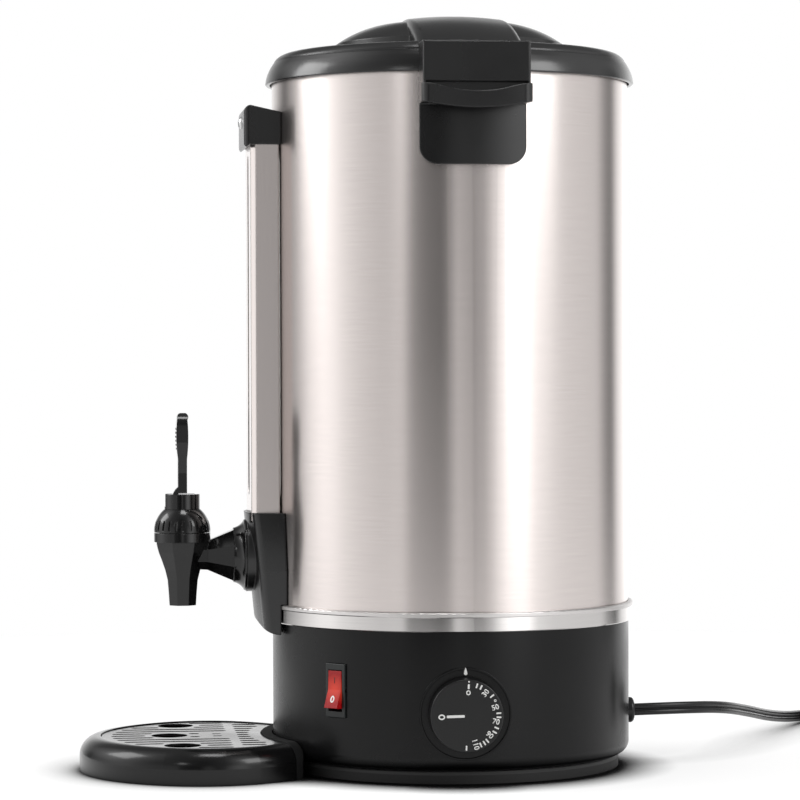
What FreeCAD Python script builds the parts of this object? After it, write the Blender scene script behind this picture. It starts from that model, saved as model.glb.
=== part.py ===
import FreeCAD
import Part
import math
import os

# Hot drinks urn with a lever tap, sight gauge, brewing basket and drip tray.
# Millimetres. The origin is on the table at the urn's axis, +Z is up and -Y is the tap side.

# Steel vessel
BODY_RADIUS = 107.1
WALL = 0.8
RIM_Z = 416.6
RIM_BEAD = 1.2
FLOOR_Z = 108.0
FLOOR_CORNER = 6.0
WELL_RADIUS = 30.0
WELL_DEPTH = 6.0
WELL_SLOPE = 3.0

# Black base under the vessel
BASE_RADIUS = BODY_RADIUS + 0.25
BASE_WALL = 2.5
BASE_TOP_Z = FLOOR_Z - 17.5
BASE_UNDER_Z = 8.5
BASE_CORNER = 7.5
BASE_FLANGE_IN = BASE_RADIUS - 15.85
LOCATING_RIM_HEIGHT = 7.5
FOOT_RADIUS = BASE_RADIUS - 6.35
FOOT_WIDTH = 5.5
FOOT_HEIGHT = 6.0
PAN_PLAY = 0.1
SEAT_GAP = 0.2
STUD_CIRCLE = BASE_RADIUS - 19.35
STUD_RADIUS = 2.5
STUD_ANGLES = (60.0, 180.0, 300.0)
VENT_COUNT = 12
VENT_RADIUS = 2.5
VENT_IN = 30.0
VENT_OUT = STUD_CIRCLE - 26.0

# Polished trim band over the joint of vessel and base
BAND_RADIUS = BASE_RADIUS + 2.05
BAND_BEAD_RADIUS = BAND_RADIUS + 0.4
BAND_LOW_Z = BASE_TOP_Z - 1.6
BAND_HIGH_Z = BASE_TOP_Z + 9.5
BAND_BEAD_HEIGHT = 2.9
BAND_SHEET = 0.8

# Heating parts under the vessel's floor
PLATE_THICKNESS = 3.0
PLATE_IN = WELL_RADIUS + 6.0
PLATE_OUT = BODY_RADIUS - 23.1
ELEMENT_CIRCLE = PLATE_OUT - 22.0
ELEMENT_RADIUS = 4.2
ELEMENT_SWEEP = 320.0
ELEMENT_PIN_RADIUS = 2.4
ELEMENT_PIN_LENGTH = 26.0
CUTOUT_CIRCLE = PLATE_IN + 10.5
CUTOUT_RADIUS = 8.0
CUTOUT_HEIGHT = 9.0
CONTACT_GAP = 0.05

# Thermostat and its knob on the side of the base
DIAL_AZIMUTH = -2.6
DIAL_Z = 42.0
DIAL_BOSS_RADIUS = 26.6
DIAL_LIP = 1.5
DIAL_LIP_WIDTH = 1.1
DIAL_DISH = 1.2
KNOB_RADIUS = 21.4
KNOB_HEIGHT = 10.5
KNOB_GAP = 0.5
KNOB_SKIN = 2.0
KNOB_HUB_RADIUS = 6.5
SHAFT_RADIUS = 3.0
SHAFT_PLAY = 0.05
BUSH_RADIUS = 4.8
THERMOSTAT_WIDTH = 36.0
THERMOSTAT_DEPTH = 20.0
THERMOSTAT_BACK_GAP = 3.0
BULB_RADIUS = 3.2
BULB_LENGTH = 50.0
BULB_OFFSET = ELEMENT_CIRCLE + 12.0
CAPILLARY_RADIUS = 0.9

# Rocker switch
SWITCH_AZIMUTH = -45.2
SWITCH_Z = 53.4
BEZEL_HEIGHT = 31.2
BEZEL_WIDTH = 14.2
BEZEL_THICKNESS = 1.5
BEZEL_SINK = 0.25
CASE_HEIGHT = 27.6
CASE_WIDTH = 12.0
CASE_DEPTH = 17.0
ROCKER_WIDTH = 9.6
ROCKER_HALF = 10.9
ROCKER_TILT = 11.0
ROCKER_DISH = 9.0
ROCKER_PIVOT_DEPTH = 2.2
ROCKER_BACK = 3.5
ROCKER_SIDE_GAP = 0.35
ROCKER_END_GAP = 0.25
TRUNNION_RADIUS = 1.4
TERMINAL_LENGTH = 6.5

# Terminal block and leads inside the base
TERMINAL_Y = BASE_RADIUS - 39.35
TERMINAL_SIZE = 15.0
TERMINAL_HALF = 17.0
TERMINAL_PITCH = 11.0
LEAD_RADIUS = 1.1

# Lid
LID_LOW_Z = RIM_Z - 6.6
LID_RADIUS = BODY_RADIUS + 3.8
LID_SHOULDER_RADIUS = LID_RADIUS - 3.0
LID_SHOULDER_Z = LID_LOW_Z + 10.0
LID_LIP_RADIUS = LID_RADIUS - 4.6
LID_EDGE_RADIUS = LID_RADIUS - 5.5
LID_EDGE_Z = LID_SHOULDER_Z + 4.2
LID_GROOVE_Z = LID_EDGE_Z - 1.2
LID_GROOVE_DEPTH = 0.7
LID_CREST_RADIUS = LID_RADIUS - 12.9
LID_CREST_Z = LID_EDGE_Z + 3.9
LID_WALL = 2.5
LID_SKIRT_GAP = 0.5
LID_SEAT_GAP = 0.2
LID_STEP_RADIUS = BODY_RADIUS - 38.6
LID_STEP_Z = LID_CREST_Z + 2.1
LID_DOME_Z = LID_STEP_Z + 4.0
LID_HAUNCH_RADIUS = 44.0
LID_HAUNCH_Z = LID_DOME_Z + 11.0
LID_CROWN_Z = LID_HAUNCH_Z + 3.6
RIDGE_HALF = 30.8
RIDGE_CROWN_Z = LID_CROWN_Z + 1.8
RIDGE_CAMBER = 1.5
RIDGE_END_Z = LID_CREST_Z - 0.3
RIDGE_END = LID_EDGE_RADIUS - 0.4
RIDGE_ROUND = 5.0
LINER_RADIUS = BODY_RADIUS - 3.4
LINER_Z = RIM_Z - 5.6
LINER_RIM = 9.0
LID_POST_CIRCLE = LINER_RADIUS - 21.7
LID_POST_RADIUS = 5.0
LID_SCREW_RADIUS = 1.75
STEAM_HOLE_RADIUS = 2.5

# Side handles
HANDLE_HALF = 30.8
HANDLE_TOP_Z = LID_EDGE_Z + 1.3
HANDLE_LOW_Z = HANDLE_TOP_Z - 69.1
HANDLE_PLATE = 7.0
HANDLE_CORNER = 10.3
HOOD_LOW_Z = HANDLE_TOP_Z - 23.1
HOOD_FRONT = BODY_RADIUS + 21.9
HOOD_GAP = 0.7
HOOD_WALL = 3.0
LIP_HALF = 31.8
LIP_FRONT = HOOD_FRONT + 4.6
LIP_LOW_Z = HOOD_LOW_Z - 11.4
LIP_THICKNESS = 10.2
LIP_SHOULDER = 20.5
LIP_SHOULDER_DROP = 1.6
LIP_DIP = 4.5
LIP_LOW_DIP = 3.7
LIP_GROOVE = 3.6
LIP_WALL = 4.0
HANDLE_SCREW_Z = HANDLE_LOW_Z + 15.6
HANDLE_SCREW_SPACING = 34.0
SCREW_RADIUS = 2.0
SCREW_HEAD_RADIUS = 4.0
SCREW_HEAD_HEIGHT = 2.4
SCREW_BITE = 4.5
HOLE_PLAY = 0.15

# Sight gauge on the tap side, from its bracket under the rim down to the tap's housing
TAP_Z = FLOOR_Z + 20.2
BOOT_TOP_Z = TAP_Z + 26.1
BRACKET_TOP_Z = RIM_Z - 20.6
BRACKET_LOW_Z = BRACKET_TOP_Z - 23.2
COLUMN_HALF = 25.0
COLUMN_FRONT = BODY_RADIUS + 14.6
COLUMN_BEVEL = 3.0
COLUMN_BACK_GAP = 0.9
COLUMN_SHEET = 0.8
COLUMN_LOW_Z = BOOT_TOP_Z - 4.9
COLUMN_TOP_Z = BRACKET_LOW_Z + 3.8
COLUMN_SLOT_HALF = 5.5
COLUMN_SLOT_LOW_Z = COLUMN_LOW_Z + 20.6
COLUMN_SLOT_TOP_Z = COLUMN_TOP_Z - 14.6
COLUMN_HEM = 2.2
BRACKET_HALF = 27.0
BRACKET_FRONT = COLUMN_FRONT + 3.9
BRACKET_SLOPE = 3.2
BRACKET_ROUND = 3.0
GLASS_RADIUS = 5.0
GLASS_WALL = 1.0
GLASS_OFFSET = BODY_RADIUS + 6.9
GLASS_TOP_Z = COLUMN_TOP_Z + 2.9
GAUGE_SCREW_Z = BRACKET_TOP_Z - 9.0
SEAL_HEIGHT = 3.0

# Tap housing, the black boot round the foot of the gauge
BOOT_LOW_Z = TAP_Z - 45.8
BOOT_FRONT = COLUMN_FRONT + 3.1
BOOT_WAIST_BACK = 3.3
BOOT_FOOT_BACK = 7.0
BOOT_BOW = 3.5
BOOT_FRONT_HALF = 27.5
BOOT_TOP_HALF = 33.5
BOOT_SIDE_HALF = 38.0
BOOT_WAIST_Z = TAP_Z - 8.2
BOOT_EDGE = 5.0
BOOT_BACK = BODY_RADIUS - 11.1
BOOT_WALL = 2.5
BOOT_TOE = 13.0
FLANGE_SEAT = BOOT_FRONT - 1.0
SLIP_GAP = 0.25

# Tap
TAP_OFFSET = BOOT_FRONT + 37.0
SHANK_TUBE_RADIUS = 8.0
SHANK_BORE_RADIUS = 4.6
SHANK_FLANGE_RADIUS = 21.3
SHANK_FLANGE = 1.6
SHANK_ROOT_RADIUS = 16.95
SHANK_ROOT = BOOT_FRONT + 5.7
SHANK_NECK_RADIUS = 9.35
SHANK_NECK = BOOT_FRONT + 22.2
SHANK_SIDES = 8
SHANK_TAIL = BODY_RADIUS - 12.1
TEE_RADIUS = 11.5
TEE_LOW = BODY_RADIUS + 2.5
TEE_HIGH = TEE_LOW + 9.8
TEE_SOCKET_RADIUS = 6.4
TEE_SOCKET_DEPTH = 8.0
TEE_NECK_RADIUS = 4.2
TEE_BORE = 2.5
GASKET_RADIUS = 12.0
NUT_RADIUS = 12.0
NUT_HEIGHT = 5.0
WASHER_THICKNESS = 1.5
NOZZLE_Z = TAP_Z - 29.8
NOZZLE_BORE = 5.2
BARREL_RING_Z = TAP_Z + 8.2
BARREL_STATIONS = (
    (NOZZLE_Z, 8.5), (NOZZLE_Z + 7.5, 9.0), (NOZZLE_Z + 15.2, 9.7), (NOZZLE_Z + 21.3, 11.3),
    (NOZZLE_Z + 27.4, 13.6), (NOZZLE_Z + 32.0, 15.5), (NOZZLE_Z + 35.6, 16.5), (BARREL_RING_Z, 16.9),
)
BARREL_TOP_Z = BARREL_RING_Z + 5.4
BARREL_WALL = 3.0
SEAT_Z = TAP_Z - 11.2
BONNET_LOW_Z = BARREL_TOP_Z + 0.4
BONNET_TOP_Z = BONNET_LOW_Z + 13.6
BONNET_RADIUS = 16.9
BONNET_TOP_RADIUS = 10.9
BONNET_RIBS = 24
BONNET_RIB_Z = BONNET_LOW_Z + 7.2
BONNET_GROOVE = 0.7
BONNET_SPIGOT = 4.0
BONNET_BORE = 8.6
COLLAR_RADIUS = 10.6
COLLAR_TOP_Z = BONNET_TOP_Z + 9.2
COLLAR_SLOT_HALF = 3.6
LEVER_LOW_Z = COLLAR_TOP_Z + 0.6
LEVER_TOP_Z = LEVER_LOW_Z + 47.9
LEVER_THICKNESS = 5.4
LEVER_HEAD_THICKNESS = 6.8
LEVER_FOOT_HALF = 5.8
LEVER_HEAD_HALF = 8.5
LEVER_HEAD_Z = LEVER_LOW_Z + 30.4
LEVER_PAD_RIBS = 6
PIVOT_Z = COLLAR_TOP_Z - 4.6
PIVOT_AHEAD = 4.6
PIVOT_RADIUS = 1.5
TONGUE_HALF = 3.2
TONGUE_HEIGHT = 3.4
STEM_RADIUS = 2.0
STEM_HEAD_RADIUS = 3.1
STEM_HEAD_HEIGHT = 1.4
KNUCKLE_RADIUS = 2.6
TONGUE_BEHIND = 1.5
SPRING_WIRE = 0.5
SPRING_RADIUS = 5.6
SPRING_TURNS = 5

# Brewing set
TUBE_RADIUS = 4.75
TUBE_WALL = 0.7
TUBE_TOP_Z = RIM_Z - 23.6
PUMP_FOOT_RADIUS = WELL_RADIUS - 3.0
PUMP_FOOT_HEIGHT = 9.0
PUMP_SHEET = 0.8
BASKET_RADIUS = 70.0
BASKET_LOW_Z = TUBE_TOP_Z - 97.0
BASKET_HEIGHT = 70.0
BASKET_SHEET = 0.8
BASKET_SLEEVE = 6.2
BASKET_RINGS = ((22.0, 9), (38.0, 15), (54.0, 21))
BASKET_HOLE_RADIUS = 1.6
COVER_HOLES = 10
COVER_KNOB_RADIUS = 9.0
FIT_GAP = 0.3

# Drip tray
TRAY_Y = -(BASE_RADIUS + 41.25)
TRAY_HALF_X = 85.0
TRAY_HALF_Y = 75.0
TRAY_END_RADIUS = 60.0
TRAY_HEIGHT = 20.8
TRAY_ROUND = 11.5
TRAY_WALL = 2.5
TRAY_FLOOR_Z = 3.0
TRAY_FLOOR = 1.8
TRAY_GAP = 0.8
TRAY_ARC_WALL = 6.5
TRAY_LEDGE_Z = 18.3
TRAY_LEDGE = 2.5
GRILLE_INSET = 12.5
GRILLE_GAP = 0.6
GRILLE_SHEET = 1.8
GRILLE_CRESCENT_GAP = 0.5
CUP_HOLE_RADIUS = 10.85
CUP_HOLE_SPREAD = 52.2
CUP_HOLE_SIDE_Y = TRAY_Y - 15.7
CUP_HOLE_MIDDLE_Y = TRAY_Y - 21.4
CUP_HOLE_RIM = 3.6
SLOT_PITCH = 10.6
SLOT_WIDTH = 4.6
SLOT_SHORTEST = 5.0
GRILLE_BORDER = 6.4
CROSS_RIB_Y = TRAY_Y + 16.3
CROSS_RIB_HALF = 2.6
MIDDLE_BAND_HALF = 20.0
CRESCENT_WIDTH = 7.0
DRAIN_EYE = (3.0, 5.0)
DRAIN_EYE_X = 5.5
DRAIN_EYE_Y = CROSS_RIB_Y - 9.2
DRAIN_SLOT_X = 8.0
DRAIN_SLOT_Y = CROSS_RIB_Y - 22.7
TRAY_TIP_ROUND = 4.0

# Cord, coil and plug. The route is (x, y, z) of the cord's centre line.
CORD_EXIT_Z = 31.7
GROMMET_RADIUS = 7.7
GROMMET_PROUD = 4.5
GROMMET_NECK = 6.0
CORD_WIDTH = 7.4
CORD_THICKNESS = 3.7
COIL_CENTRE = (-212.0, BASE_RADIUS + 213.65)
COIL_RADIUS = 43.0
COIL_TURNS = 3.42
COIL_PITCH = 4.9
COIL_START = 241.0
COIL_CLIMB = 0.25
COIL_LAYER_GAP = 0.6
PLUG_RADIUS = 18.0
PLUG_LENGTH = 34.0
PLUG_PIN_RADIUS = 2.4
PLUG_PIN_LENGTH = 19.0
PLUG_PIN_SPACING = 19.0
PLUG_TAIL = 16.0

V = FreeCAD.Vector
ORIGIN = V(0, 0, 0)
X = V(1, 0, 0)
Y = V(0, 1, 0)
Z = V(0, 0, 1)
FRONT = -90.0
REAR = 90.0


def sound(shape):
    """The shape, turned right side out if its faces point inwards."""
    if shape.Volume < 0:
        shape.reverse()
    return shape


def face(points, place):
    """A flat face from corners (a, b); (a, b, c, d) is an arc through the first point to the second."""
    edges = []
    start = place(*points[0])
    here = start
    for point in points[1:]:
        if len(point) == 4:
            middle = place(*point[:2])
            there = place(*point[2:])
            edges.append(Part.Arc(here, middle, there).toShape())
        else:
            there = place(*point)
            edges.append(Part.LineSegment(here, there).toShape())
        here = there
    if here.distanceToPoint(start) > 1e-6:
        edges.append(Part.LineSegment(here, start).toShape())
    return Part.Face(Part.Wire(edges))


def spin(points, centre=ORIGIN):
    """A solid of revolution about a vertical axis from (radius, z) corners."""
    profile = face(points, lambda r, z: V(centre.x + r, centre.y, z))
    return sound(profile.revolve(V(centre.x, centre.y, 0), Z, 360))


def slab(points, y0, y1):
    """An (x, z) outline drawn out along Y."""
    return sound(face(points, lambda x, z: V(x, y0, z)).extrude(V(0, y1 - y0, 0)))


def plate(points, z0, z1):
    """An (x, y) outline drawn out along Z."""
    return sound(face(points, lambda x, y: V(x, y, z0)).extrude(V(0, 0, z1 - z0)))


def board(points, x0, x1):
    """A (y, z) outline drawn out along X."""
    return sound(face(points, lambda y, z: V(x0, y, z)).extrude(V(x1 - x0, 0, 0)))


def disc(radius, z0, z1, x=0.0, y=0.0):
    return Part.makeCylinder(radius, z1 - z0, V(x, y, z0), Z)


def rod(radius, x0, x1, y=0.0, z=0.0):
    return Part.makeCylinder(radius, x1 - x0, V(x0, y, z), X)


def cross_rod(radius, half, x, z):
    return Part.makeCylinder(radius, 2 * half, V(x, -half, z), Y)


def block(x0, x1, half, z0, z1):
    return Part.makeBox(x1 - x0, 2 * half, z1 - z0, V(x0, -half, z0))


def hexagon(across, x0, x1, y=0.0, z=0.0):
    """A nut's outline about the X direction, its corners at the radius across."""
    corners = [
        (y + across * math.cos(math.radians(60 * i)), z + across * math.sin(math.radians(60 * i)))
        for i in range(6)
    ]
    return board(corners, x0, x1)


def turned(shape, degrees):
    """The shape turned about the urn's axis, from +X towards +Y."""
    result = shape.copy()
    result.rotate(ORIGIN, Z, degrees)
    return result


def rounded(shape, radius, wanted):
    """The shape with the edges that wanted() picks rounded off."""
    edges = [edge for edge in shape.Edges if wanted(edge)]
    return shape.makeFillet(radius, edges)


def save(node, *solids):
    shape = solids[0] if len(solids) == 1 else Part.makeCompound(list(solids))
    shape.exportStep("parts/%s.step" % node)
    for solid in shape.Solids:
        if not solid.isValid() or solid.Volume <= 0:
            print("not sound:", node, round(solid.Volume, 2))
    if len(shape.Solids) < len(solids):
        print("missing solids:", node)


def arc_middle(start, heading, end):
    """The middle point of the arc that leaves start along heading and ends at end."""
    chord = end - start
    along = V(chord).normalize()
    lean = heading.dot(along)
    side = heading - along * lean
    if side.Length < 1e-9:
        return None
    angle = math.acos(max(-1.0, min(1.0, lean)))
    return start + chord * 0.5 + side.normalize() * (chord.Length / 2 * math.tan(angle / 2))


def arc_or_line(start, heading, end):
    middle = arc_middle(start, heading, end)
    if middle is None:
        return Part.LineSegment(start, end).toShape()
    return Part.Arc(start, middle, end).toShape()


def biarc(start, heading, end, last_heading):
    """Two arcs, tangent to each other, that join two points with given headings."""
    span = end - start
    both = heading + last_heading
    square = 2 * (1 - heading.dot(last_heading))
    along = span.dot(both)
    reach = (math.sqrt(along * along + square * span.dot(span)) - along) / square
    joint = (start + end + (heading - last_heading) * reach) * 0.5
    middle = arc_middle(start, heading, joint)
    first = Part.Arc(start, middle, joint)
    second_heading = V(first.tangent(first.LastParameter)[0])
    return [first.toShape(), arc_or_line(joint, second_heading, end)]


def route_edges(points):
    """Straight runs with a tangent arc at each inner point, and the arcs' radii."""
    edges = []
    radii = []
    here = points[0]
    for before, corner, after in zip(points, points[1:], points[2:]):
        way_in = corner - before
        way_out = after - corner
        cut = 0.45 * min(way_in.Length, way_out.Length)
        heading = V(way_in).normalize()
        leaving = V(way_out).normalize()
        half_turn = math.acos(max(-1.0, min(1.0, heading.dot(leaving)))) / 2
        radii.append(cut / math.tan(half_turn))
        arc_start = corner - heading * cut
        arc_end = corner + leaving * cut
        edges.append(Part.LineSegment(here, arc_start).toShape())
        edges.append(arc_or_line(arc_start, heading, arc_end))
        here = arc_end
    edges.append(Part.LineSegment(here, points[-1]).toShape())
    return edges, radii


def swept(edges, section):
    """A section swept along a smooth wire as one closed tube."""
    spine = Part.Wire(edges)
    return sound(spine.makePipeShell([section], True, False))


def round_section(centre, heading, radius):
    return Part.Wire([Part.Circle(centre, heading, radius).toShape()])


def flat_section(centre, heading):
    """The twin lead's outline, standing on edge, square to the heading."""
    side = V(heading.y, -heading.x, 0).normalize()
    radius = CORD_THICKNESS / 2
    half = CORD_WIDTH / 2 - radius
    top = centre + Z * half
    low = centre - Z * half
    edges = [
        Part.LineSegment(low + side * radius, top + side * radius).toShape(),
        Part.Arc(top + side * radius, top + Z * radius, top - side * radius).toShape(),
        Part.LineSegment(top - side * radius, low - side * radius).toShape(),
        Part.Arc(low - side * radius, low - Z * radius, low + side * radius).toShape(),
    ]
    return Part.Wire(edges)


def round_tube(points, radius):
    edges, _ = route_edges(points)
    heading = V(points[1] - points[0]).normalize()
    return swept(edges, round_section(points[0], heading, radius))


# Sizes that follow from the ones above
BODY_INSIDE = BODY_RADIUS - WALL
FLOOR_UNDER_Z = FLOOR_Z - WALL
PLATE_UNDER_Z = FLOOR_UNDER_Z - PLATE_THICKNESS
BASE_INSIDE = BASE_RADIUS - BASE_WALL
HANDLE_INSIDE = BODY_RADIUS + SEAT_GAP
PAN_TOP_Z = BASE_UNDER_Z - PAN_PLAY
CUT_IN = BODY_RADIUS - 27
CUT_OUT = BODY_RADIUS + 33


# The steel vessel: rolled rim, wall, floor with a well for the pump's foot, and a skirt
def make_vessel():
    bead = RIM_BEAD
    bead_x = BODY_RADIUS - bead
    bead_low = math.sqrt(bead * bead - (bead - WALL) ** 2)
    corner = FLOOR_CORNER
    slant = math.sqrt(0.5)
    well_under = WELL_RADIUS + WALL
    vessel = spin([
        (BODY_RADIUS, BASE_TOP_Z),
        (BODY_RADIUS, RIM_Z),
        (bead_x, RIM_Z + bead, bead_x - bead, RIM_Z),
        (bead_x - bead * slant, RIM_Z - bead * slant, BODY_INSIDE, RIM_Z - bead_low),
        (BODY_INSIDE, FLOOR_Z + corner),
        (BODY_INSIDE - corner * (1 - slant), FLOOR_Z + corner * (1 - slant),
         BODY_INSIDE - corner, FLOOR_Z),
        (WELL_RADIUS + WELL_SLOPE, FLOOR_Z),
        (WELL_RADIUS, FLOOR_Z - WELL_DEPTH),
        (0, FLOOR_Z - WELL_DEPTH),
        (0, FLOOR_UNDER_Z - WELL_DEPTH),
        (well_under, FLOOR_UNDER_Z - WELL_DEPTH),
        (well_under + WELL_SLOPE, FLOOR_UNDER_Z),
        (BODY_INSIDE, FLOOR_UNDER_Z),
        (BODY_INSIDE, BASE_TOP_Z),
    ])
    holes = [turned(rod(SHANK_TUBE_RADIUS + HOLE_PLAY, CUT_IN, CUT_OUT, 0, TAP_Z), FRONT)]
    holes.append(turned(rod(SCREW_RADIUS + HOLE_PLAY, CUT_IN, CUT_OUT, 0, GAUGE_SCREW_Z), FRONT))
    for side in (0, 180):
        for y in (-HANDLE_SCREW_SPACING / 2, HANDLE_SCREW_SPACING / 2):
            hole = rod(SCREW_RADIUS + HOLE_PLAY, CUT_IN, CUT_OUT, y, HANDLE_SCREW_Z)
            holes.append(turned(hole, side))
    return vessel.cut(holes)


# The trim band: a rolled hoop with a bead along its top edge and turned-in lips
def make_trim_band():
    lip_in = BODY_RADIUS + SEAT_GAP
    low_lip_in = BASE_RADIUS + SEAT_GAP
    bead_z = BAND_HIGH_Z - BAND_BEAD_HEIGHT
    inside = BAND_RADIUS - BAND_SHEET
    return spin([
        (BAND_RADIUS - 0.5, BAND_LOW_Z),
        (BAND_RADIUS, BAND_LOW_Z + 0.5),
        (BAND_RADIUS, bead_z),
        (BAND_BEAD_RADIUS, bead_z + 0.5),
        (BAND_BEAD_RADIUS, BAND_HIGH_Z - 0.9),
        (BAND_BEAD_RADIUS - 0.25, BAND_HIGH_Z - 0.25, BAND_BEAD_RADIUS - 0.9, BAND_HIGH_Z),
        (lip_in, BAND_HIGH_Z),
        (lip_in, BAND_HIGH_Z - BAND_SHEET),
        (inside, BAND_HIGH_Z - BAND_SHEET - 0.6),
        (inside, BAND_LOW_Z + BAND_SHEET),
        (low_lip_in, BAND_LOW_Z + BAND_SHEET),
        (low_lip_in, BAND_LOW_Z),
    ])


# The base housing: a moulded ring wall with a rounded foot, a seat for the vessel and the dial's boss
def make_base_housing():
    corner = BASE_CORNER
    slant = math.sqrt(0.5)
    inner_corner = corner - BASE_WALL
    centre_r = BASE_RADIUS - corner
    centre_z = BASE_UNDER_Z + corner
    rim_out = BODY_INSIDE - SEAT_GAP
    rim_in = rim_out - BASE_WALL
    shell = spin([
        (BASE_FLANGE_IN, BASE_UNDER_Z),
        (centre_r, BASE_UNDER_Z),
        (centre_r + corner * slant, centre_z - corner * slant, BASE_RADIUS, centre_z),
        (BASE_RADIUS, BASE_TOP_Z),
        (rim_out, BASE_TOP_Z),
        (rim_out, BASE_TOP_Z + LOCATING_RIM_HEIGHT),
        (rim_in, BASE_TOP_Z + LOCATING_RIM_HEIGHT),
        (rim_in, BASE_TOP_Z - BASE_WALL),
        (BASE_INSIDE, BASE_TOP_Z - BASE_WALL - 2),
        (BASE_INSIDE, centre_z),
        (centre_r + inner_corner * slant, centre_z - inner_corner * slant,
         centre_r, BASE_UNDER_Z + BASE_WALL),
        (BASE_FLANGE_IN, BASE_UNDER_Z + BASE_WALL),
    ])
    boss_back = math.sqrt(BASE_INSIDE ** 2 - DIAL_BOSS_RADIUS ** 2)
    lip_front = BASE_RADIUS + DIAL_LIP
    boss = rod(DIAL_BOSS_RADIUS, boss_back, lip_front, 0, DIAL_Z)
    boss = boss.cut(disc(BASE_INSIDE, DIAL_Z - 40, DIAL_Z + 40))
    dish = rod(DIAL_BOSS_RADIUS - DIAL_LIP_WIDTH, lip_front - DIAL_DISH, lip_front + 1, 0, DIAL_Z)
    bush_hole = rod(BUSH_RADIUS + SEAT_GAP, CUT_IN, CUT_OUT, 0, DIAL_Z)
    shell = shell.fuse(turned(boss, DIAL_AZIMUTH))
    pocket = block(
        BASE_RADIUS - BEZEL_SINK, BASE_RADIUS + 5, BEZEL_WIDTH / 2 + SEAT_GAP,
        SWITCH_Z - BEZEL_HEIGHT / 2 - SEAT_GAP, SWITCH_Z + BEZEL_HEIGHT / 2 + SEAT_GAP)
    case_hole = block(
        CUT_IN, CUT_OUT, CASE_WIDTH / 2 + SEAT_GAP,
        SWITCH_Z - CASE_HEIGHT / 2 - SEAT_GAP, SWITCH_Z + CASE_HEIGHT / 2 + SEAT_GAP)
    cord_hole = rod(GROMMET_NECK + SEAT_GAP, CUT_IN, CUT_OUT, 0, CORD_EXIT_Z)
    cord_seat = rod(GROMMET_RADIUS + SEAT_GAP, BASE_RADIUS - 1, CUT_OUT, 0, CORD_EXIT_Z)
    return shell.cut([
        turned(dish, DIAL_AZIMUTH),
        turned(bush_hole, DIAL_AZIMUTH),
        turned(pocket, SWITCH_AZIMUTH),
        turned(case_hole, SWITCH_AZIMUTH),
        turned(cord_hole, REAR),
        turned(cord_seat, REAR),
    ])


# The base pan that closes the base from below, with ventilation slots and holes for the studs
def make_base_pan():
    pan = disc(FOOT_RADIUS, FOOT_HEIGHT, PAN_TOP_Z)
    pan = rounded(pan, 0.8, lambda edge: edge.BoundBox.ZMin > PAN_TOP_Z - 0.1
                  and edge.BoundBox.ZLength < 0.1)
    tools = [
        turned(disc(STUD_RADIUS + HOLE_PLAY, 0, 20, STUD_CIRCLE), angle)
        for angle in STUD_ANGLES
    ]
    for i in range(VENT_COUNT):
        slot = block(VENT_IN, VENT_OUT, VENT_RADIUS, 0, 20)
        slot = slot.fuse([disc(VENT_RADIUS, 0, 20, VENT_IN), disc(VENT_RADIUS, 0, 20, VENT_OUT)])
        tools.append(turned(slot, 360 / VENT_COUNT * (i + 0.5)))
    return pan.cut(tools)


def make_foot_ring():
    inside = FOOT_RADIUS - FOOT_WIDTH
    return spin([
        (inside, 0),
        (FOOT_RADIUS - 1, 0),
        (FOOT_RADIUS, 1),
        (FOOT_RADIUS, FOOT_HEIGHT),
        (inside, FOOT_HEIGHT),
    ])


# Three studs hang from the vessel's floor; their nuts pull the base pan up
def make_base_studs():
    solids = []
    for angle in STUD_ANGLES:
        stud = disc(STUD_RADIUS, 1.2, FLOOR_UNDER_Z, STUD_CIRCLE)
        solids.append(turned(stud, angle))
    return solids


def make_stud_nuts():
    solids = []
    for angle in STUD_ANGLES:
        corners = [
            (STUD_CIRCLE + 4.6 * math.cos(math.radians(60 * i)), 4.6 * math.sin(math.radians(60 * i)))
            for i in range(6)
        ]
        nut = plate(corners, FOOT_HEIGHT - 4.0, FOOT_HEIGHT)
        nut = nut.cut(disc(STUD_RADIUS + PAN_PLAY / 2, 0, 20, STUD_CIRCLE))
        solids.append(turned(nut, angle))
    return solids


def make_heat_plate():
    outer = disc(PLATE_OUT, PLATE_UNDER_Z, FLOOR_UNDER_Z)
    return outer.cut(disc(PLATE_IN, PLATE_UNDER_Z - 1, FLOOR_UNDER_Z + 1))


# The tubular element: an open ring with two cold pins hanging down
def make_heating_element():
    z = PLATE_UNDER_Z - ELEMENT_RADIUS - CONTACT_GAP
    ring = face(
        [(ELEMENT_CIRCLE - ELEMENT_RADIUS, z),
         (ELEMENT_CIRCLE, z + ELEMENT_RADIUS, ELEMENT_CIRCLE + ELEMENT_RADIUS, z),
         (ELEMENT_CIRCLE, z - ELEMENT_RADIUS, ELEMENT_CIRCLE - ELEMENT_RADIUS, z)],
        lambda r, height: V(r, 0, height))
    ring = sound(ring.revolve(ORIGIN, Z, ELEMENT_SWEEP))
    inset = math.degrees(ELEMENT_RADIUS / ELEMENT_CIRCLE)
    pins = [
        turned(disc(ELEMENT_PIN_RADIUS, z - ELEMENT_PIN_LENGTH, z, ELEMENT_CIRCLE), angle)
        for angle in (inset, ELEMENT_SWEEP - inset)
    ]
    element = ring.fuse(pins)
    element.rotate(ORIGIN, Z, 180 + (360 - ELEMENT_SWEEP) / 2)
    return element


def make_thermal_cutout():
    top = PLATE_UNDER_Z - CONTACT_GAP
    can = disc(CUTOUT_RADIUS, top - CUTOUT_HEIGHT, top, -CUTOUT_CIRCLE)
    tabs = [
        Part.makeBox(0.8, 4.8, 7.0, V(-CUTOUT_CIRCLE + offset, -2.4, top - CUTOUT_HEIGHT - 7.0))
        for offset in (-5.0, 4.2)
    ]
    return can.fuse(tabs)


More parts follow.
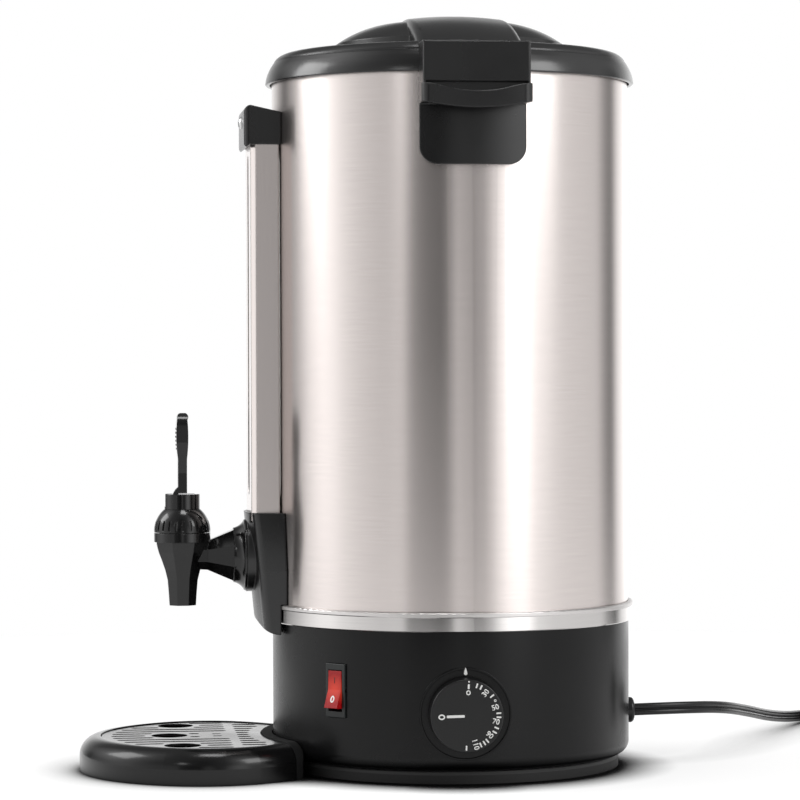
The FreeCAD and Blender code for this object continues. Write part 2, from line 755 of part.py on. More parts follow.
# Thermostat: can, threaded bush through the dial's boss, and its nut under the knob
def thermostat_face():
    return BASE_INSIDE - THERMOSTAT_BACK_GAP


def dish_face():
    return BASE_RADIUS + DIAL_LIP - DIAL_DISH


def make_thermostat():
    front = thermostat_face()
    half = THERMOSTAT_WIDTH / 2
    can = block(front - THERMOSTAT_DEPTH, front, half, DIAL_Z - half, DIAL_Z + half)
    can = rounded(can, 3.0, lambda edge: edge.BoundBox.XLength > 5)
    bush = rod(BUSH_RADIUS, front, dish_face() + 3.2, 0, DIAL_Z)
    bore = rod(SHAFT_RADIUS + SHAFT_PLAY, front - 12, dish_face() + 5, 0, DIAL_Z)
    back = front - THERMOSTAT_DEPTH
    tabs = [
        Part.makeBox(TERMINAL_LENGTH, 0.8, 6.0, V(back - TERMINAL_LENGTH, y, DIAL_Z - 3.0))
        for y in (-9.0, 8.2)
    ]
    return turned(can.fuse(bush).fuse(tabs).cut(bore), DIAL_AZIMUTH)


def make_thermostat_nut():
    nut = hexagon(7.6, dish_face(), dish_face() + 2.2, 0, DIAL_Z)
    nut = nut.cut(rod(BUSH_RADIUS + PAN_PLAY / 2, CUT_IN, CUT_OUT, 0, DIAL_Z))
    return turned(nut, DIAL_AZIMUTH)


# The bulb lies against the heat plate, and its capillary runs down to the thermostat
def make_thermostat_bulb():
    z = PLATE_UNDER_Z - BULB_RADIUS - CONTACT_GAP
    half = BULB_LENGTH / 2
    bulb = Part.makeCylinder(BULB_RADIUS, BULB_LENGTH, V(BULB_OFFSET, -half, z), Y)
    can_top = DIAL_Z + THERMOSTAT_WIDTH / 2
    end_x = thermostat_face() - THERMOSTAT_DEPTH / 2
    capillary = round_tube([
        V(BULB_OFFSET, half - 1, z),
        V(BULB_OFFSET, half + 12, z),
        V(BULB_OFFSET + 8, half + 18, z - 8),
        V(end_x, half + 8, z - 22),
        V(end_x, 4, can_top + 6),
        V(end_x, 0, can_top + CONTACT_GAP),
    ], CAPILLARY_RADIUS)
    return bulb.fuse(capillary)


def make_knob():
    back = dish_face() + KNOB_GAP
    front = back + KNOB_HEIGHT
    inner = KNOB_RADIUS - KNOB_SKIN
    inner_front = front - KNOB_SKIN
    body = face([
        (0, inner_front - 1.0),
        (SHAFT_RADIUS + SHAFT_PLAY, inner_front - 1.0),
        (SHAFT_RADIUS + SHAFT_PLAY, back + 3.6),
        (KNOB_HUB_RADIUS, back + 3.6),
        (KNOB_HUB_RADIUS, inner_front),
        (inner, inner_front),
        (inner, back),
        (KNOB_RADIUS, back),
        (KNOB_RADIUS - 0.5, front - 0.8),
        (KNOB_RADIUS - 0.75, front - 0.2, KNOB_RADIUS - 1.3, front),
        (0, front),
    ], lambda r, x: V(x, r, DIAL_Z))
    return turned(sound(body.revolve(V(0, 0, DIAL_Z), X, 360)), DIAL_AZIMUTH)


def make_knob_shaft():
    front = dish_face() + KNOB_GAP + KNOB_HEIGHT - KNOB_SKIN - 1.0
    return turned(rod(SHAFT_RADIUS, thermostat_face() - 11.5, front - SHAFT_PLAY, 0, DIAL_Z), DIAL_AZIMUTH)


# Rocker switch: bezel and case in one piece, rocker on two trunnions, shown pressed at its top
def switch_plane():
    return BASE_RADIUS - BEZEL_SINK


def rocker_pivot_x():
    return switch_plane() + BEZEL_THICKNESS - ROCKER_PIVOT_DEPTH


def rocker_reach():
    rise = ROCKER_PIVOT_DEPTH + 0.6 + ROCKER_HALF * math.tan(math.radians(ROCKER_DISH))
    return math.hypot(rise, ROCKER_HALF)


def make_switch_case():
    back = switch_plane()
    bezel = block(back, back + BEZEL_THICKNESS, BEZEL_WIDTH / 2,
                  SWITCH_Z - BEZEL_HEIGHT / 2, SWITCH_Z + BEZEL_HEIGHT / 2)
    bezel = rounded(bezel, 0.4, lambda edge: edge.BoundBox.XMin > back + BEZEL_THICKNESS - 0.1)
    case = block(back - CASE_DEPTH, back, CASE_WIDTH / 2,
                 SWITCH_Z - CASE_HEIGHT / 2, SWITCH_Z + CASE_HEIGHT / 2)
    mouth_half = rocker_reach() + ROCKER_END_GAP
    cavity = block(back - CASE_DEPTH + 4, back + 5, ROCKER_WIDTH / 2 + ROCKER_SIDE_GAP,
                   SWITCH_Z - mouth_half, SWITCH_Z + mouth_half)
    bearing = cross_rod(TRUNNION_RADIUS + SHAFT_PLAY, 20, rocker_pivot_x(), SWITCH_Z)
    rear = back - CASE_DEPTH
    tabs = [
        Part.makeBox(TERMINAL_LENGTH, 4.8, 0.8, V(rear - TERMINAL_LENGTH, -2.4, SWITCH_Z + z))
        for z in (-8.4, 7.6)
    ]
    return turned(bezel.fuse(case).fuse(tabs).cut([cavity, bearing]), SWITCH_AZIMUTH)


def make_rocker():
    pivot = rocker_pivot_x()
    middle = pivot + ROCKER_PIVOT_DEPTH + 0.6
    rise = ROCKER_HALF * math.tan(math.radians(ROCKER_DISH))
    end = middle + rise
    body = slab([
        (middle, SWITCH_Z),
        (end, SWITCH_Z + ROCKER_HALF),
        (pivot, SWITCH_Z + ROCKER_HALF - 0.4),
        (pivot - ROCKER_BACK, SWITCH_Z + ROCKER_HALF - 3.0),
        (pivot - ROCKER_BACK - 2.0, SWITCH_Z),
        (pivot - ROCKER_BACK, SWITCH_Z - ROCKER_HALF + 3.0),
        (pivot, SWITCH_Z - ROCKER_HALF + 0.4),
        (end, SWITCH_Z - ROCKER_HALF),
    ], -ROCKER_WIDTH / 2, ROCKER_WIDTH / 2)
    rocker = body.fuse(cross_rod(TRUNNION_RADIUS, CASE_WIDTH / 2 - 0.2, pivot, SWITCH_Z))
    rocker.rotate(V(pivot, 0, SWITCH_Z), Y, -ROCKER_TILT)
    return turned(rocker, SWITCH_AZIMUTH)


# Terminal block on the base pan beside the cord's way in
def make_terminal_block():
    size = TERMINAL_SIZE
    body = Part.makeBox(2 * TERMINAL_HALF, size, size,
                        V(-TERMINAL_HALF, TERMINAL_Y, PAN_TOP_Z + CONTACT_GAP))
    rows = (-TERMINAL_PITCH, 0, TERMINAL_PITCH)
    grooves = [
        Part.makeCylinder(1.6, size + 5, V(x, TERMINAL_Y - 2, PAN_TOP_Z + 6.0), Y) for x in rows
    ]
    screws = [
        disc(2.2, PAN_TOP_Z + 12.5, PAN_TOP_Z + 20, x, TERMINAL_Y + size / 2) for x in rows
    ]
    return body.cut(grooves + screws)


# Leads between grommet, terminal block, switch, thermostat, cut-out and element
def make_leads():
    z = PAN_TOP_Z + 6.0
    switch_back = switch_plane() - CASE_DEPTH - TERMINAL_LENGTH
    angle = math.radians(SWITCH_AZIMUTH)
    dial = math.radians(DIAL_AZIMUTH)
    stat_back = thermostat_face() - THERMOSTAT_DEPTH - TERMINAL_LENGTH
    pin_angle = math.radians(180 - (360 - ELEMENT_SWEEP) / 2 - math.degrees(ELEMENT_RADIUS / ELEMENT_CIRCLE))
    pin_z = PLATE_UNDER_Z - ELEMENT_RADIUS - CONTACT_GAP - ELEMENT_PIN_LENGTH
    cut_z = PLATE_UNDER_Z - CONTACT_GAP - CUTOUT_HEIGHT - 7.0

    def out(radius, azimuth, aside, height):
        return V(radius * math.cos(azimuth) - aside * math.sin(azimuth),
                 radius * math.sin(azimuth) + aside * math.cos(azimuth), height)

    pin_x = ELEMENT_CIRCLE * math.cos(pin_angle)
    pin_y = ELEMENT_CIRCLE * math.sin(pin_angle)
    grommet_back = BASE_INSIDE - 5.8
    row = TERMINAL_PITCH
    rear = TERMINAL_Y + TERMINAL_SIZE + 0.2
    fore = TERMINAL_Y - 0.2
    routes = [
        [V(-1.5, grommet_back, CORD_EXIT_Z), V(-6, rear + 9.8, CORD_EXIT_Z - 4),
         V(-row, rear + 7.8, z + 3), V(-row, rear, z)],
        [V(1.5, grommet_back, CORD_EXIT_Z), V(6, rear + 9.8, CORD_EXIT_Z - 4),
         V(row, rear + 7.8, z + 3), V(row, rear, z)],
        [V(row, fore, z), V(14, fore - 17.8, z + 2), V(26, 0, z + 6), V(40, -40, z + 20),
         out(switch_back - 8, angle, 0, SWITCH_Z - 8), out(switch_back - 0.1, angle, 0, SWITCH_Z - 8)],
        [out(switch_back - 0.1, angle, 0, SWITCH_Z + 8), out(switch_back - 10, angle, 3, SWITCH_Z + 8),
         out(stat_back - 14, dial, -20, DIAL_Z + 4), out(stat_back - 8, dial, -8.6, DIAL_Z),
         out(stat_back - 0.1, dial, -8.6, DIAL_Z)],
        [out(stat_back - 0.1, dial, 8.6, DIAL_Z), out(stat_back - 12, dial, 9, DIAL_Z + 3),
         V(10, 25, DIAL_Z + 14), V(-30, 8, cut_z - 14), V(-CUTOUT_CIRCLE + 4.6, 0, cut_z - 9),
         V(-CUTOUT_CIRCLE + 4.6, 0, cut_z - 0.1)],
        [V(-CUTOUT_CIRCLE - 4.6, 0, cut_z - 0.1), V(-CUTOUT_CIRCLE - 4.6, -2, cut_z - 10),
         V(pin_x + 3, -pin_y + 3, pin_z - 12), V(pin_x, -pin_y, pin_z - 8),
         V(pin_x, -pin_y, pin_z - 0.1)],
        [V(pin_x, pin_y, pin_z - 0.1), V(pin_x, pin_y, pin_z - 10), V(-40, 40, 40),
         V(-14, fore - 11.8, z + 4), V(-row, fore, z)],
    ]
    return [round_tube(route, LEAD_RADIUS) for route in routes]


# Lid: a hollow moulding with a stepped dome and a raised ridge that runs from handle to handle
def lid_profile(drop):
    """The lid's upper surface from its crest to the axis, lowered by drop inside the moulding."""
    step_r = LID_STEP_RADIUS - drop
    haunch_r = LID_HAUNCH_RADIUS
    shelf_r = (LID_CREST_RADIUS + step_r) / 2
    shelf_z = (LID_CREST_Z + LID_STEP_Z) / 2 + 0.45
    side_z = (LID_DOME_Z + LID_HAUNCH_Z) / 2 + 0.9
    return [
        (LID_CREST_RADIUS, LID_CREST_Z - drop),
        (shelf_r, shelf_z - drop, step_r, LID_STEP_Z - drop),
        (step_r, LID_DOME_Z - drop),
        ((step_r + haunch_r) / 2 + 1.25, side_z - drop, haunch_r, LID_HAUNCH_Z - drop),
        (haunch_r / 2, LID_HAUNCH_Z - drop + 0.77 * (LID_CROWN_Z - LID_HAUNCH_Z), 0, LID_CROWN_Z - drop),
    ]


def ridge(half, end, crown_z, end_z, edge, camber):
    """A barrel about the Y direction: its crown runs from handle to handle, its edges are round."""
    rise = crown_z - end_z
    radius = (end ** 2 + rise ** 2) / (2 * rise)
    slant = math.sqrt(0.5)
    side = radius - camber
    profile = face([
        (-half, radius - rise - 12),
        (-half, side - edge),
        (-half + edge * (1 - slant), side - edge * (1 - slant), -half + edge, side),
        (0, radius, half - edge, side),
        (half - edge * (1 - slant), side - edge * (1 - slant), half, side - edge),
        (half, radius - rise - 12),
    ], lambda y, r: V(0, y, crown_z - radius + r))
    barrel = sound(profile.revolve(V(0, 0, crown_z - radius), Y, 360))
    return barrel.common(disc(end + 10, LID_EDGE_Z - 4, crown_z + 5))


def make_lid():
    skirt_in = BODY_RADIUS + LID_SKIRT_GAP
    rest_z = RIM_Z + RIM_BEAD + LID_SEAT_GAP
    edge = LID_EDGE_RADIUS
    groove = LID_LIP_RADIUS - LID_GROOVE_DEPTH
    crest = LID_CREST_RADIUS
    outer = spin([
        (0, LID_LOW_Z),
        (LID_RADIUS - 0.6, LID_LOW_Z),
        (LID_RADIUS, LID_LOW_Z + 0.6),
        (LID_RADIUS - 0.6, LID_LOW_Z + 4.0, LID_SHOULDER_RADIUS, LID_SHOULDER_Z),
        (LID_LIP_RADIUS, LID_GROOVE_Z - 0.4),
        (groove, LID_GROOVE_Z),
        (groove, LID_GROOVE_Z + 0.8),
        (edge, LID_EDGE_Z),
        ((edge + crest) / 2 + 1.1, (LID_EDGE_Z + LID_CREST_Z) / 2 + 0.45, crest, LID_CREST_Z),
    ] + lid_profile(0)[1:])
    inner = spin([
        (0, LID_LOW_Z - 1),
        (LID_RADIUS - LID_WALL, LID_LOW_Z - 1),
        (LID_RADIUS - LID_WALL, LID_LOW_Z),
        (skirt_in, rest_z - 2),
        (skirt_in, rest_z),
        (LINER_RADIUS + 0.4, rest_z),
        (LINER_RADIUS + 0.4, LID_EDGE_Z - LID_WALL - 0.6),
    ] + lid_profile(LID_WALL))
    outer_ridge = ridge(RIDGE_HALF, RIDGE_END, RIDGE_CROWN_Z, RIDGE_END_Z, RIDGE_ROUND, RIDGE_CAMBER)
    outer_ridge = outer_ridge.common(disc(RIDGE_END, LID_EDGE_Z - 1, RIDGE_CROWN_Z + 5))
    inner_ridge = ridge(RIDGE_HALF - LID_WALL, RIDGE_END, RIDGE_CROWN_Z - LID_WALL,
                        RIDGE_END_Z - LID_WALL, RIDGE_ROUND - LID_WALL, RIDGE_CAMBER)
    inner_ridge = inner_ridge.common(disc(RIDGE_END - LID_WALL, LID_EDGE_Z - LID_WALL, RIDGE_CROWN_Z + 5))
    solid = outer.fuse(outer_ridge)
    posts = []
    for angle in (90, 210, 330):
        posts.append(turned(disc(LID_POST_RADIUS, LINER_Z + 1, RIDGE_CROWN_Z, LID_POST_CIRCLE), angle))
    posts = [post.common(solid) for post in posts]
    lid = solid.cut([inner, inner_ridge]).fuse(posts)
    holes = [
        turned(disc(LID_SCREW_RADIUS + SHAFT_PLAY, LINER_Z, LINER_Z + 9, LID_POST_CIRCLE), angle)
        for angle in (90, 210, 330)
    ]
    holes.append(disc(STEAM_HOLE_RADIUS, LID_EDGE_Z, RIDGE_CROWN_Z, 0, 48.0))
    return lid.cut(holes)


def make_lid_liner():
    sheet = WALL
    low = LINER_Z
    liner = spin([
        (0, low),
        (LINER_RADIUS - 4, low),
        (LINER_RADIUS - 1.2, low + 1.2, LINER_RADIUS, low + 4),
        (LINER_RADIUS, low + LINER_RIM),
        (LINER_RADIUS - sheet, low + LINER_RIM),
        (LINER_RADIUS - sheet, low + 4),
        (LINER_RADIUS - sheet - 1, low + sheet + 1, LINER_RADIUS - 4, low + sheet),
        (0, low + sheet),
    ])
    holes = [
        turned(disc(LID_SCREW_RADIUS + HOLE_PLAY, low - 1, low + 2, LID_POST_CIRCLE), angle)
        for angle in (90, 210, 330)
    ]
    return liner.cut(holes)


def make_lid_screws():
    low = LINER_Z
    solids = []
    for angle in (90, 210, 330):
        screw = spin([
            (0, low - 1.8),
            (1.6, low - 1.7),
            (3.4, low - 0.6),
            (3.4, low),
            (LID_SCREW_RADIUS, low),
            (LID_SCREW_RADIUS, low + 8.5),
            (0, low + 8.5),
        ], V(LID_POST_CIRCLE, 0, 0))
        solids.append(turned(screw, angle))
    return solids


# Side handle: back plate, hollow hood over the lid's rim and a bowed finger lip under it
def make_side_handle():
    plate_out = HANDLE_INSIDE + HANDLE_PLATE
    corner = HANDLE_CORNER
    slant = math.sqrt(0.5)
    low = HANDLE_LOW_Z
    half = HANDLE_HALF
    shield = board([
        (-half, HOOD_LOW_Z + 4),
        (-half, low + corner),
        (-half + corner * (1 - slant), low + corner * (1 - slant), -half + corner, low),
        (half - corner, low),
        (half - corner * (1 - slant), low + corner * (1 - slant), half, low + corner),
        (half, HOOD_LOW_Z + 4),
    ], CUT_IN, CUT_OUT)
    shell = disc(plate_out, low - 1, HOOD_LOW_Z + 10).cut(disc(HANDLE_INSIDE, low - 2, HOOD_LOW_Z + 11))
    back_plate = shell.common(shield)

    hood_in = LID_RADIUS + HOOD_GAP
    lip_top_end = LIP_LOW_Z + LIP_THICKNESS
    hood = block(CUT_IN, HOOD_FRONT, half, LIP_LOW_Z, HANDLE_TOP_Z)
    hood = rounded(hood, 1.2, lambda edge: edge.BoundBox.XMin > HOOD_FRONT - 0.1)
    hood = hood.cut([
        disc(HANDLE_INSIDE + 0.01, LIP_LOW_Z - 1, LID_LOW_Z - 3.5),
        disc(hood_in, LID_LOW_Z - 3.5, HANDLE_TOP_Z + 1),
    ])
    groove = block(HOOD_FRONT - LIP_GROOVE, HOOD_FRONT + 1, half - 1.4, LIP_LOW_Z - 1, HOOD_LOW_Z)
    hood = hood.cut(groove)

    top = lip_top_end
    bend = (LIP_HALF + LIP_SHOULDER) / 2
    wave = board([
        (-LIP_HALF, LIP_LOW_Z),
        (-LIP_HALF, top),
        (-bend, top - LIP_SHOULDER_DROP / 4, -LIP_SHOULDER, top - LIP_SHOULDER_DROP),
        (0, top - LIP_DIP, LIP_SHOULDER, top - LIP_SHOULDER_DROP),
        (bend, top - LIP_SHOULDER_DROP / 4, LIP_HALF, top),
        (LIP_HALF, LIP_LOW_Z),
        (0, LIP_LOW_Z - LIP_LOW_DIP, -LIP_HALF, LIP_LOW_Z),
    ], HOOD_FRONT - 6, LIP_FRONT + 5)
    bow = plate([
        (HOOD_FRONT - 6, -LIP_HALF),
        (HOOD_FRONT - 1, -LIP_HALF),
        (LIP_FRONT - 2.6, -LIP_HALF + 1.1, LIP_FRONT - 1, -LIP_HALF + 5),
        (LIP_FRONT, 0, LIP_FRONT - 1, LIP_HALF - 5),
        (LIP_FRONT - 2.6, LIP_HALF - 1.1, HOOD_FRONT - 1, LIP_HALF),
        (HOOD_FRONT - 6, LIP_HALF),
    ], LIP_LOW_Z - 10, LIP_LOW_Z + 20)
    lip = wave.common(bow)

    finger = slab([
        (plate_out, LIP_LOW_Z - 12),
        (plate_out, LID_LOW_Z - 4.5),
        (hood_in + HOOD_WALL, LID_LOW_Z - 0.5),
        (hood_in + HOOD_WALL, HANDLE_TOP_Z - HOOD_WALL - 2),
        (hood_in + HOOD_WALL + 2, HANDLE_TOP_Z - HOOD_WALL),
        (HOOD_FRONT - LIP_GROOVE - HOOD_WALL, HANDLE_TOP_Z - HOOD_WALL),
        (HOOD_FRONT - LIP_GROOVE - HOOD_WALL, LIP_LOW_Z + 6),
        (LIP_FRONT - LIP_WALL - 1, LIP_LOW_Z - 1),
        (LIP_FRONT - LIP_WALL - 1, LIP_LOW_Z - 12),
    ], -half + HOOD_WALL, half - HOOD_WALL)
    under_plate = disc(plate_out, LIP_LOW_Z - 20, LID_LOW_Z - 4.5)
    handle = hood.fuse(lip).cut(finger.cut(under_plate)).fuse(back_plate)
    holes = [
        rod(SCREW_RADIUS + SHAFT_PLAY, CUT_IN, handle_screw_end(y) + 0.6, y, HANDLE_SCREW_Z)
        for y in (-HANDLE_SCREW_SPACING / 2, HANDLE_SCREW_SPACING / 2)
    ]
    return handle.cut(holes)


def handle_screw_end(y):
    return math.sqrt(HANDLE_INSIDE ** 2 - y ** 2) + SCREW_BITE


def handle_screw(y, z):
    """One screw from inside the vessel: a pan head against the wall and a short shank."""
    seat = math.sqrt(BODY_INSIDE ** 2 - (abs(y) + SCREW_HEAD_RADIUS) ** 2) - CONTACT_GAP
    head = rod(SCREW_HEAD_RADIUS, seat - SCREW_HEAD_HEIGHT, seat, y, z)
    return head.fuse(rod(SCREW_RADIUS, seat, handle_screw_end(y), y, z))


def make_handle_screws():
    return [
        turned(handle_screw(y, HANDLE_SCREW_Z), side)
        for side in (0, 180)
        for y in (-HANDLE_SCREW_SPACING / 2, HANDLE_SCREW_SPACING / 2)
    ]


# Sight gauge: a folded steel channel with a slot, the glass tube behind it and a bracket on top
def column_outline(half, front, bevel, back):
    return [(back, -half), (front - bevel, -half), (front, -half + bevel),
            (front, half - bevel), (front - bevel, half), (back, half)]


def make_gauge_column():
    sheet = COLUMN_SHEET
    back = math.sqrt(BODY_RADIUS ** 2 - COLUMN_HALF ** 2) + COLUMN_BACK_GAP
    outer = plate(column_outline(COLUMN_HALF, COLUMN_FRONT, COLUMN_BEVEL, back), COLUMN_LOW_Z, COLUMN_TOP_Z)
    inner = plate(column_outline(COLUMN_HALF - sheet, COLUMN_FRONT - sheet, COLUMN_BEVEL - sheet * 0.4,
                                 back - 5), COLUMN_LOW_Z - 1, COLUMN_TOP_Z + 1)
    channel = outer.cut(inner)
    for side in (-1, 1):
        edge = side * COLUMN_HALF
        hem = side * (COLUMN_HALF - COLUMN_HEM)
        strip = plate([(back, edge), (back + sheet, edge), (back + sheet, hem), (back, hem)],
                      COLUMN_LOW_Z, COLUMN_TOP_Z)
        channel = channel.fuse(strip.cut(disc(BODY_RADIUS + SEAT_GAP, COLUMN_LOW_Z - 1, COLUMN_TOP_Z + 1)))
    half = COLUMN_SLOT_HALF
    slot = board([
        (-half, COLUMN_SLOT_LOW_Z),
        (-half, COLUMN_SLOT_TOP_Z),
        (0, COLUMN_SLOT_TOP_Z + half, half, COLUMN_SLOT_TOP_Z),
        (half, COLUMN_SLOT_LOW_Z),
        (0, COLUMN_SLOT_LOW_Z - half, -half, COLUMN_SLOT_LOW_Z),
    ], COLUMN_FRONT - 3, COLUMN_FRONT + 3)
    return turned(channel.cut(slot), FRONT)


def tee_socket_top():
    return COLUMN_LOW_Z + 3.0


def make_gauge_glass():
    low = tee_socket_top() - TEE_SOCKET_DEPTH
    outer = disc(GLASS_RADIUS, low, GLASS_TOP_Z, GLASS_OFFSET)
    return turned(outer.cut(disc(GLASS_RADIUS - GLASS_WALL, low - 1, GLASS_TOP_Z + 1, GLASS_OFFSET)), FRONT)


def seal_ring(low):
    ring = disc(TEE_SOCKET_RADIUS - 0.2, low, low + SEAL_HEIGHT, GLASS_OFFSET)
    return ring.cut(disc(GLASS_RADIUS + SHAFT_PLAY, low - 1, low + SEAL_HEIGHT + 1, GLASS_OFFSET))


def make_gauge_seals():
    low = tee_socket_top() + CONTACT_GAP
    high = COLUMN_TOP_Z + SLIP_GAP - CONTACT_GAP - SEAL_HEIGHT
    return [turned(seal_ring(low), FRONT), turned(seal_ring(high), FRONT)]


def make_gauge_bracket():
    half = BRACKET_HALF
    back = BODY_RADIUS - 9.1
    slope_run = BRACKET_FRONT - 4 - HANDLE_INSIDE
    drop = BRACKET_SLOPE * (BRACKET_FRONT - 4 - back) / slope_run
    body = slab([
        (back, BRACKET_LOW_Z),
        (COLUMN_FRONT + 0.6, BRACKET_LOW_Z),
        (BRACKET_FRONT - 1.4, BRACKET_LOW_Z - 1.6),
        (BRACKET_FRONT - 0.4, BRACKET_LOW_Z - 0.6, BRACKET_FRONT, BRACKET_LOW_Z + 4),
        (BRACKET_FRONT, BRACKET_TOP_Z - 4),
        (BRACKET_FRONT - 1.2, BRACKET_TOP_Z - 1.2, BRACKET_FRONT - 4, BRACKET_TOP_Z),
        (back, BRACKET_TOP_Z - drop),
    ], -half, half)
    outline = plate([
        (back, -half),
        (BRACKET_FRONT - BRACKET_ROUND, -half),
        (BRACKET_FRONT - 0.3 * BRACKET_ROUND, -half + 0.3 * BRACKET_ROUND,
         BRACKET_FRONT, -half + BRACKET_ROUND),
        (BRACKET_FRONT, half - BRACKET_ROUND),
        (BRACKET_FRONT - 0.3 * BRACKET_ROUND, half - 0.3 * BRACKET_ROUND,
         BRACKET_FRONT - BRACKET_ROUND, half),
        (back, half),
    ], BRACKET_LOW_Z - 5, BRACKET_TOP_Z + 5)
    body = body.common(outline).cut(disc(HANDLE_INSIDE, BRACKET_LOW_Z - 9, BRACKET_TOP_Z + 9))
    slip = SLIP_GAP
    pocket = plate(
        column_outline(COLUMN_HALF + slip, COLUMN_FRONT + slip, COLUMN_BEVEL, CUT_IN),
        BRACKET_LOW_Z - 5, COLUMN_TOP_Z + slip)
    socket = disc(GLASS_RADIUS + slip, COLUMN_TOP_Z - 5, GLASS_TOP_Z + slip, GLASS_OFFSET)
    screw_hole = rod(SCREW_RADIUS + HOLE_PLAY, CUT_IN, CUT_OUT, 0, GAUGE_SCREW_Z)
    return turned(body.cut([pocket, socket, screw_hole]), FRONT)


def make_gauge_screw():
    head = face([
        (0, BRACKET_FRONT + 1.9),
        (2.6, BRACKET_FRONT + 1.4, 3.8, BRACKET_FRONT + CONTACT_GAP),
        (0, BRACKET_FRONT + CONTACT_GAP),
    ], lambda r, x: V(x, r, GAUGE_SCREW_Z))
    head = sound(head.revolve(V(0, 0, GAUGE_SCREW_Z), X, 360))
    slot = block(BRACKET_FRONT + 1.1, BRACKET_FRONT + 3, 0.5, GAUGE_SCREW_Z - 5, GAUGE_SCREW_Z + 5)
    shank = rod(SCREW_RADIUS, BODY_INSIDE - 5, BRACKET_FRONT + CONTACT_GAP, 0, GAUGE_SCREW_Z)
    return turned(head.cut(slot).fuse(shank), FRONT)


def make_gauge_nut():
    front = BODY_INSIDE - 0.35
    nut = hexagon(4.4, front - 3.2, front, 0, GAUGE_SCREW_Z)
    return turned(nut.cut(rod(SCREW_RADIUS + SHAFT_PLAY, CUT_IN, CUT_OUT, 0, GAUGE_SCREW_Z)), FRONT)


# Tap housing: a moulded boot, open at the back, round the foot of the gauge
def boot_plan(side_half, inset, setback):
    """The boot's outline in plan: a bowed front, rounded edges and flaring sides."""
    front_half = BOOT_FRONT_HALF - inset
    side = side_half - inset
    front = BOOT_FRONT - inset - setback
    edge = BOOT_EDGE - inset * 0.5
    corner = front - BOOT_BOW
    back = BOOT_BACK
    run_x = corner - back
    run_y = side - front_half
    length = math.hypot(run_x, run_y)
    ax = corner - edge * run_x / length
    ay = front_half + edge * run_y / length
    bend = edge * 0.3
    return [
        (back, -side),
        (ax, -ay),
        (corner - bend * 0.75, -front_half + bend * 0.55, corner + 0.25, -front_half + edge),
        (front, 0, corner + 0.25, front_half - edge),
        (corner - bend * 0.75, front_half - bend * 0.55, ax, ay),
        (back, side),
    ]


def boot_solid(inset, top_z, low_z):
    def outline(points, z):
        return Part.Wire(face(points, lambda x, y: V(x, y, z)).Edges)

    top = outline(boot_plan(BOOT_TOP_HALF, inset, 0), top_z)
    waist = outline(boot_plan(BOOT_SIDE_HALF, inset, BOOT_WAIST_BACK), BOOT_WAIST_Z)
    foot = outline(boot_plan(BOOT_SIDE_HALF, inset, BOOT_FOOT_BACK), low_z)
    upper = sound(Part.makeLoft([waist, top], True, True))
    lower = sound(Part.makeLoft([foot, waist], True, True))
    toe = BOOT_TOE - inset
    lean = (BOOT_FOOT_BACK - BOOT_WAIST_BACK) / (BOOT_WAIST_Z - low_z)
    front = BOOT_FRONT - inset - BOOT_WAIST_BACK - lean * (BOOT_WAIST_Z - low_z - toe)
    slant = math.sqrt(0.5)
    silhouette = slab([
        (CUT_IN, low_z),
        (front - toe, low_z),
        (front - toe * (1 - slant), low_z + toe * (1 - slant), front, low_z + toe),
        (CUT_OUT, low_z + toe + (CUT_OUT - front)),
        (CUT_OUT, top_z + 5),
        (CUT_IN, top_z + 5),
    ], -60, 60)
    return upper.fuse(lower).common(silhouette)


def make_tap_housing():
    land = rod(SHANK_FLANGE_RADIUS + 0.6, TEE_LOW, FLANGE_SEAT, 0, TAP_Z)
    body = boot_solid(0, BOOT_TOP_Z, BOOT_LOW_Z).fuse(land)
    body = body.cut(boot_solid(BOOT_WALL, BOOT_TOP_Z - BOOT_WALL, BOOT_LOW_Z + BOOT_WALL))
    boss = rod(SHANK_TUBE_RADIUS + 5, TEE_HIGH + CONTACT_GAP, FLANGE_SEAT, 0, TAP_Z)
    body = body.fuse(boss)
    slip = SLIP_GAP
    column = plate(
        column_outline(COLUMN_HALF + slip, COLUMN_FRONT + slip, COLUMN_BEVEL, CUT_IN),
        COLUMN_LOW_Z - 1, BOOT_TOP_Z + 1)
    return turned(body.cut([
        disc(HANDLE_INSIDE + 0.1, BAND_HIGH_Z, BOOT_TOP_Z + 9),
        disc(BAND_BEAD_RADIUS + SEAT_GAP, BOOT_LOW_Z - 9, BAND_HIGH_Z + SEAT_GAP),
        column,
        rod(TEE_RADIUS + SLIP_GAP, CUT_IN, TEE_HIGH + CONTACT_GAP, 0, TAP_Z),
        rod(SHANK_FLANGE_RADIUS + SLIP_GAP, FLANGE_SEAT, CUT_OUT, 0, TAP_Z),
        rod(SHANK_TUBE_RADIUS + HOLE_PLAY, CUT_IN, CUT_OUT, 0, TAP_Z),
    ]), FRONT)


# The tee that the tap's shank passes through: it feeds the sight glass
def make_gauge_tee():
    top = tee_socket_top()
    glass_low = top - TEE_SOCKET_DEPTH - CONTACT_GAP
    body = rod(TEE_RADIUS, TEE_LOW, TEE_HIGH, 0, TAP_Z)
    neck = disc(TEE_NECK_RADIUS, TAP_Z, glass_low, GLASS_OFFSET)
    socket = disc(TEE_SOCKET_RADIUS, glass_low - 2.0, top, GLASS_OFFSET)
    return turned(body.fuse([neck, socket]).cut([
        rod(SHANK_TUBE_RADIUS + HOLE_PLAY, CUT_IN, CUT_OUT, 0, TAP_Z),
        disc(TEE_BORE, TAP_Z, top + 1, GLASS_OFFSET),
        disc(GLASS_RADIUS + SHAFT_PLAY, glass_low, top + 1, GLASS_OFFSET),
    ]), FRONT)


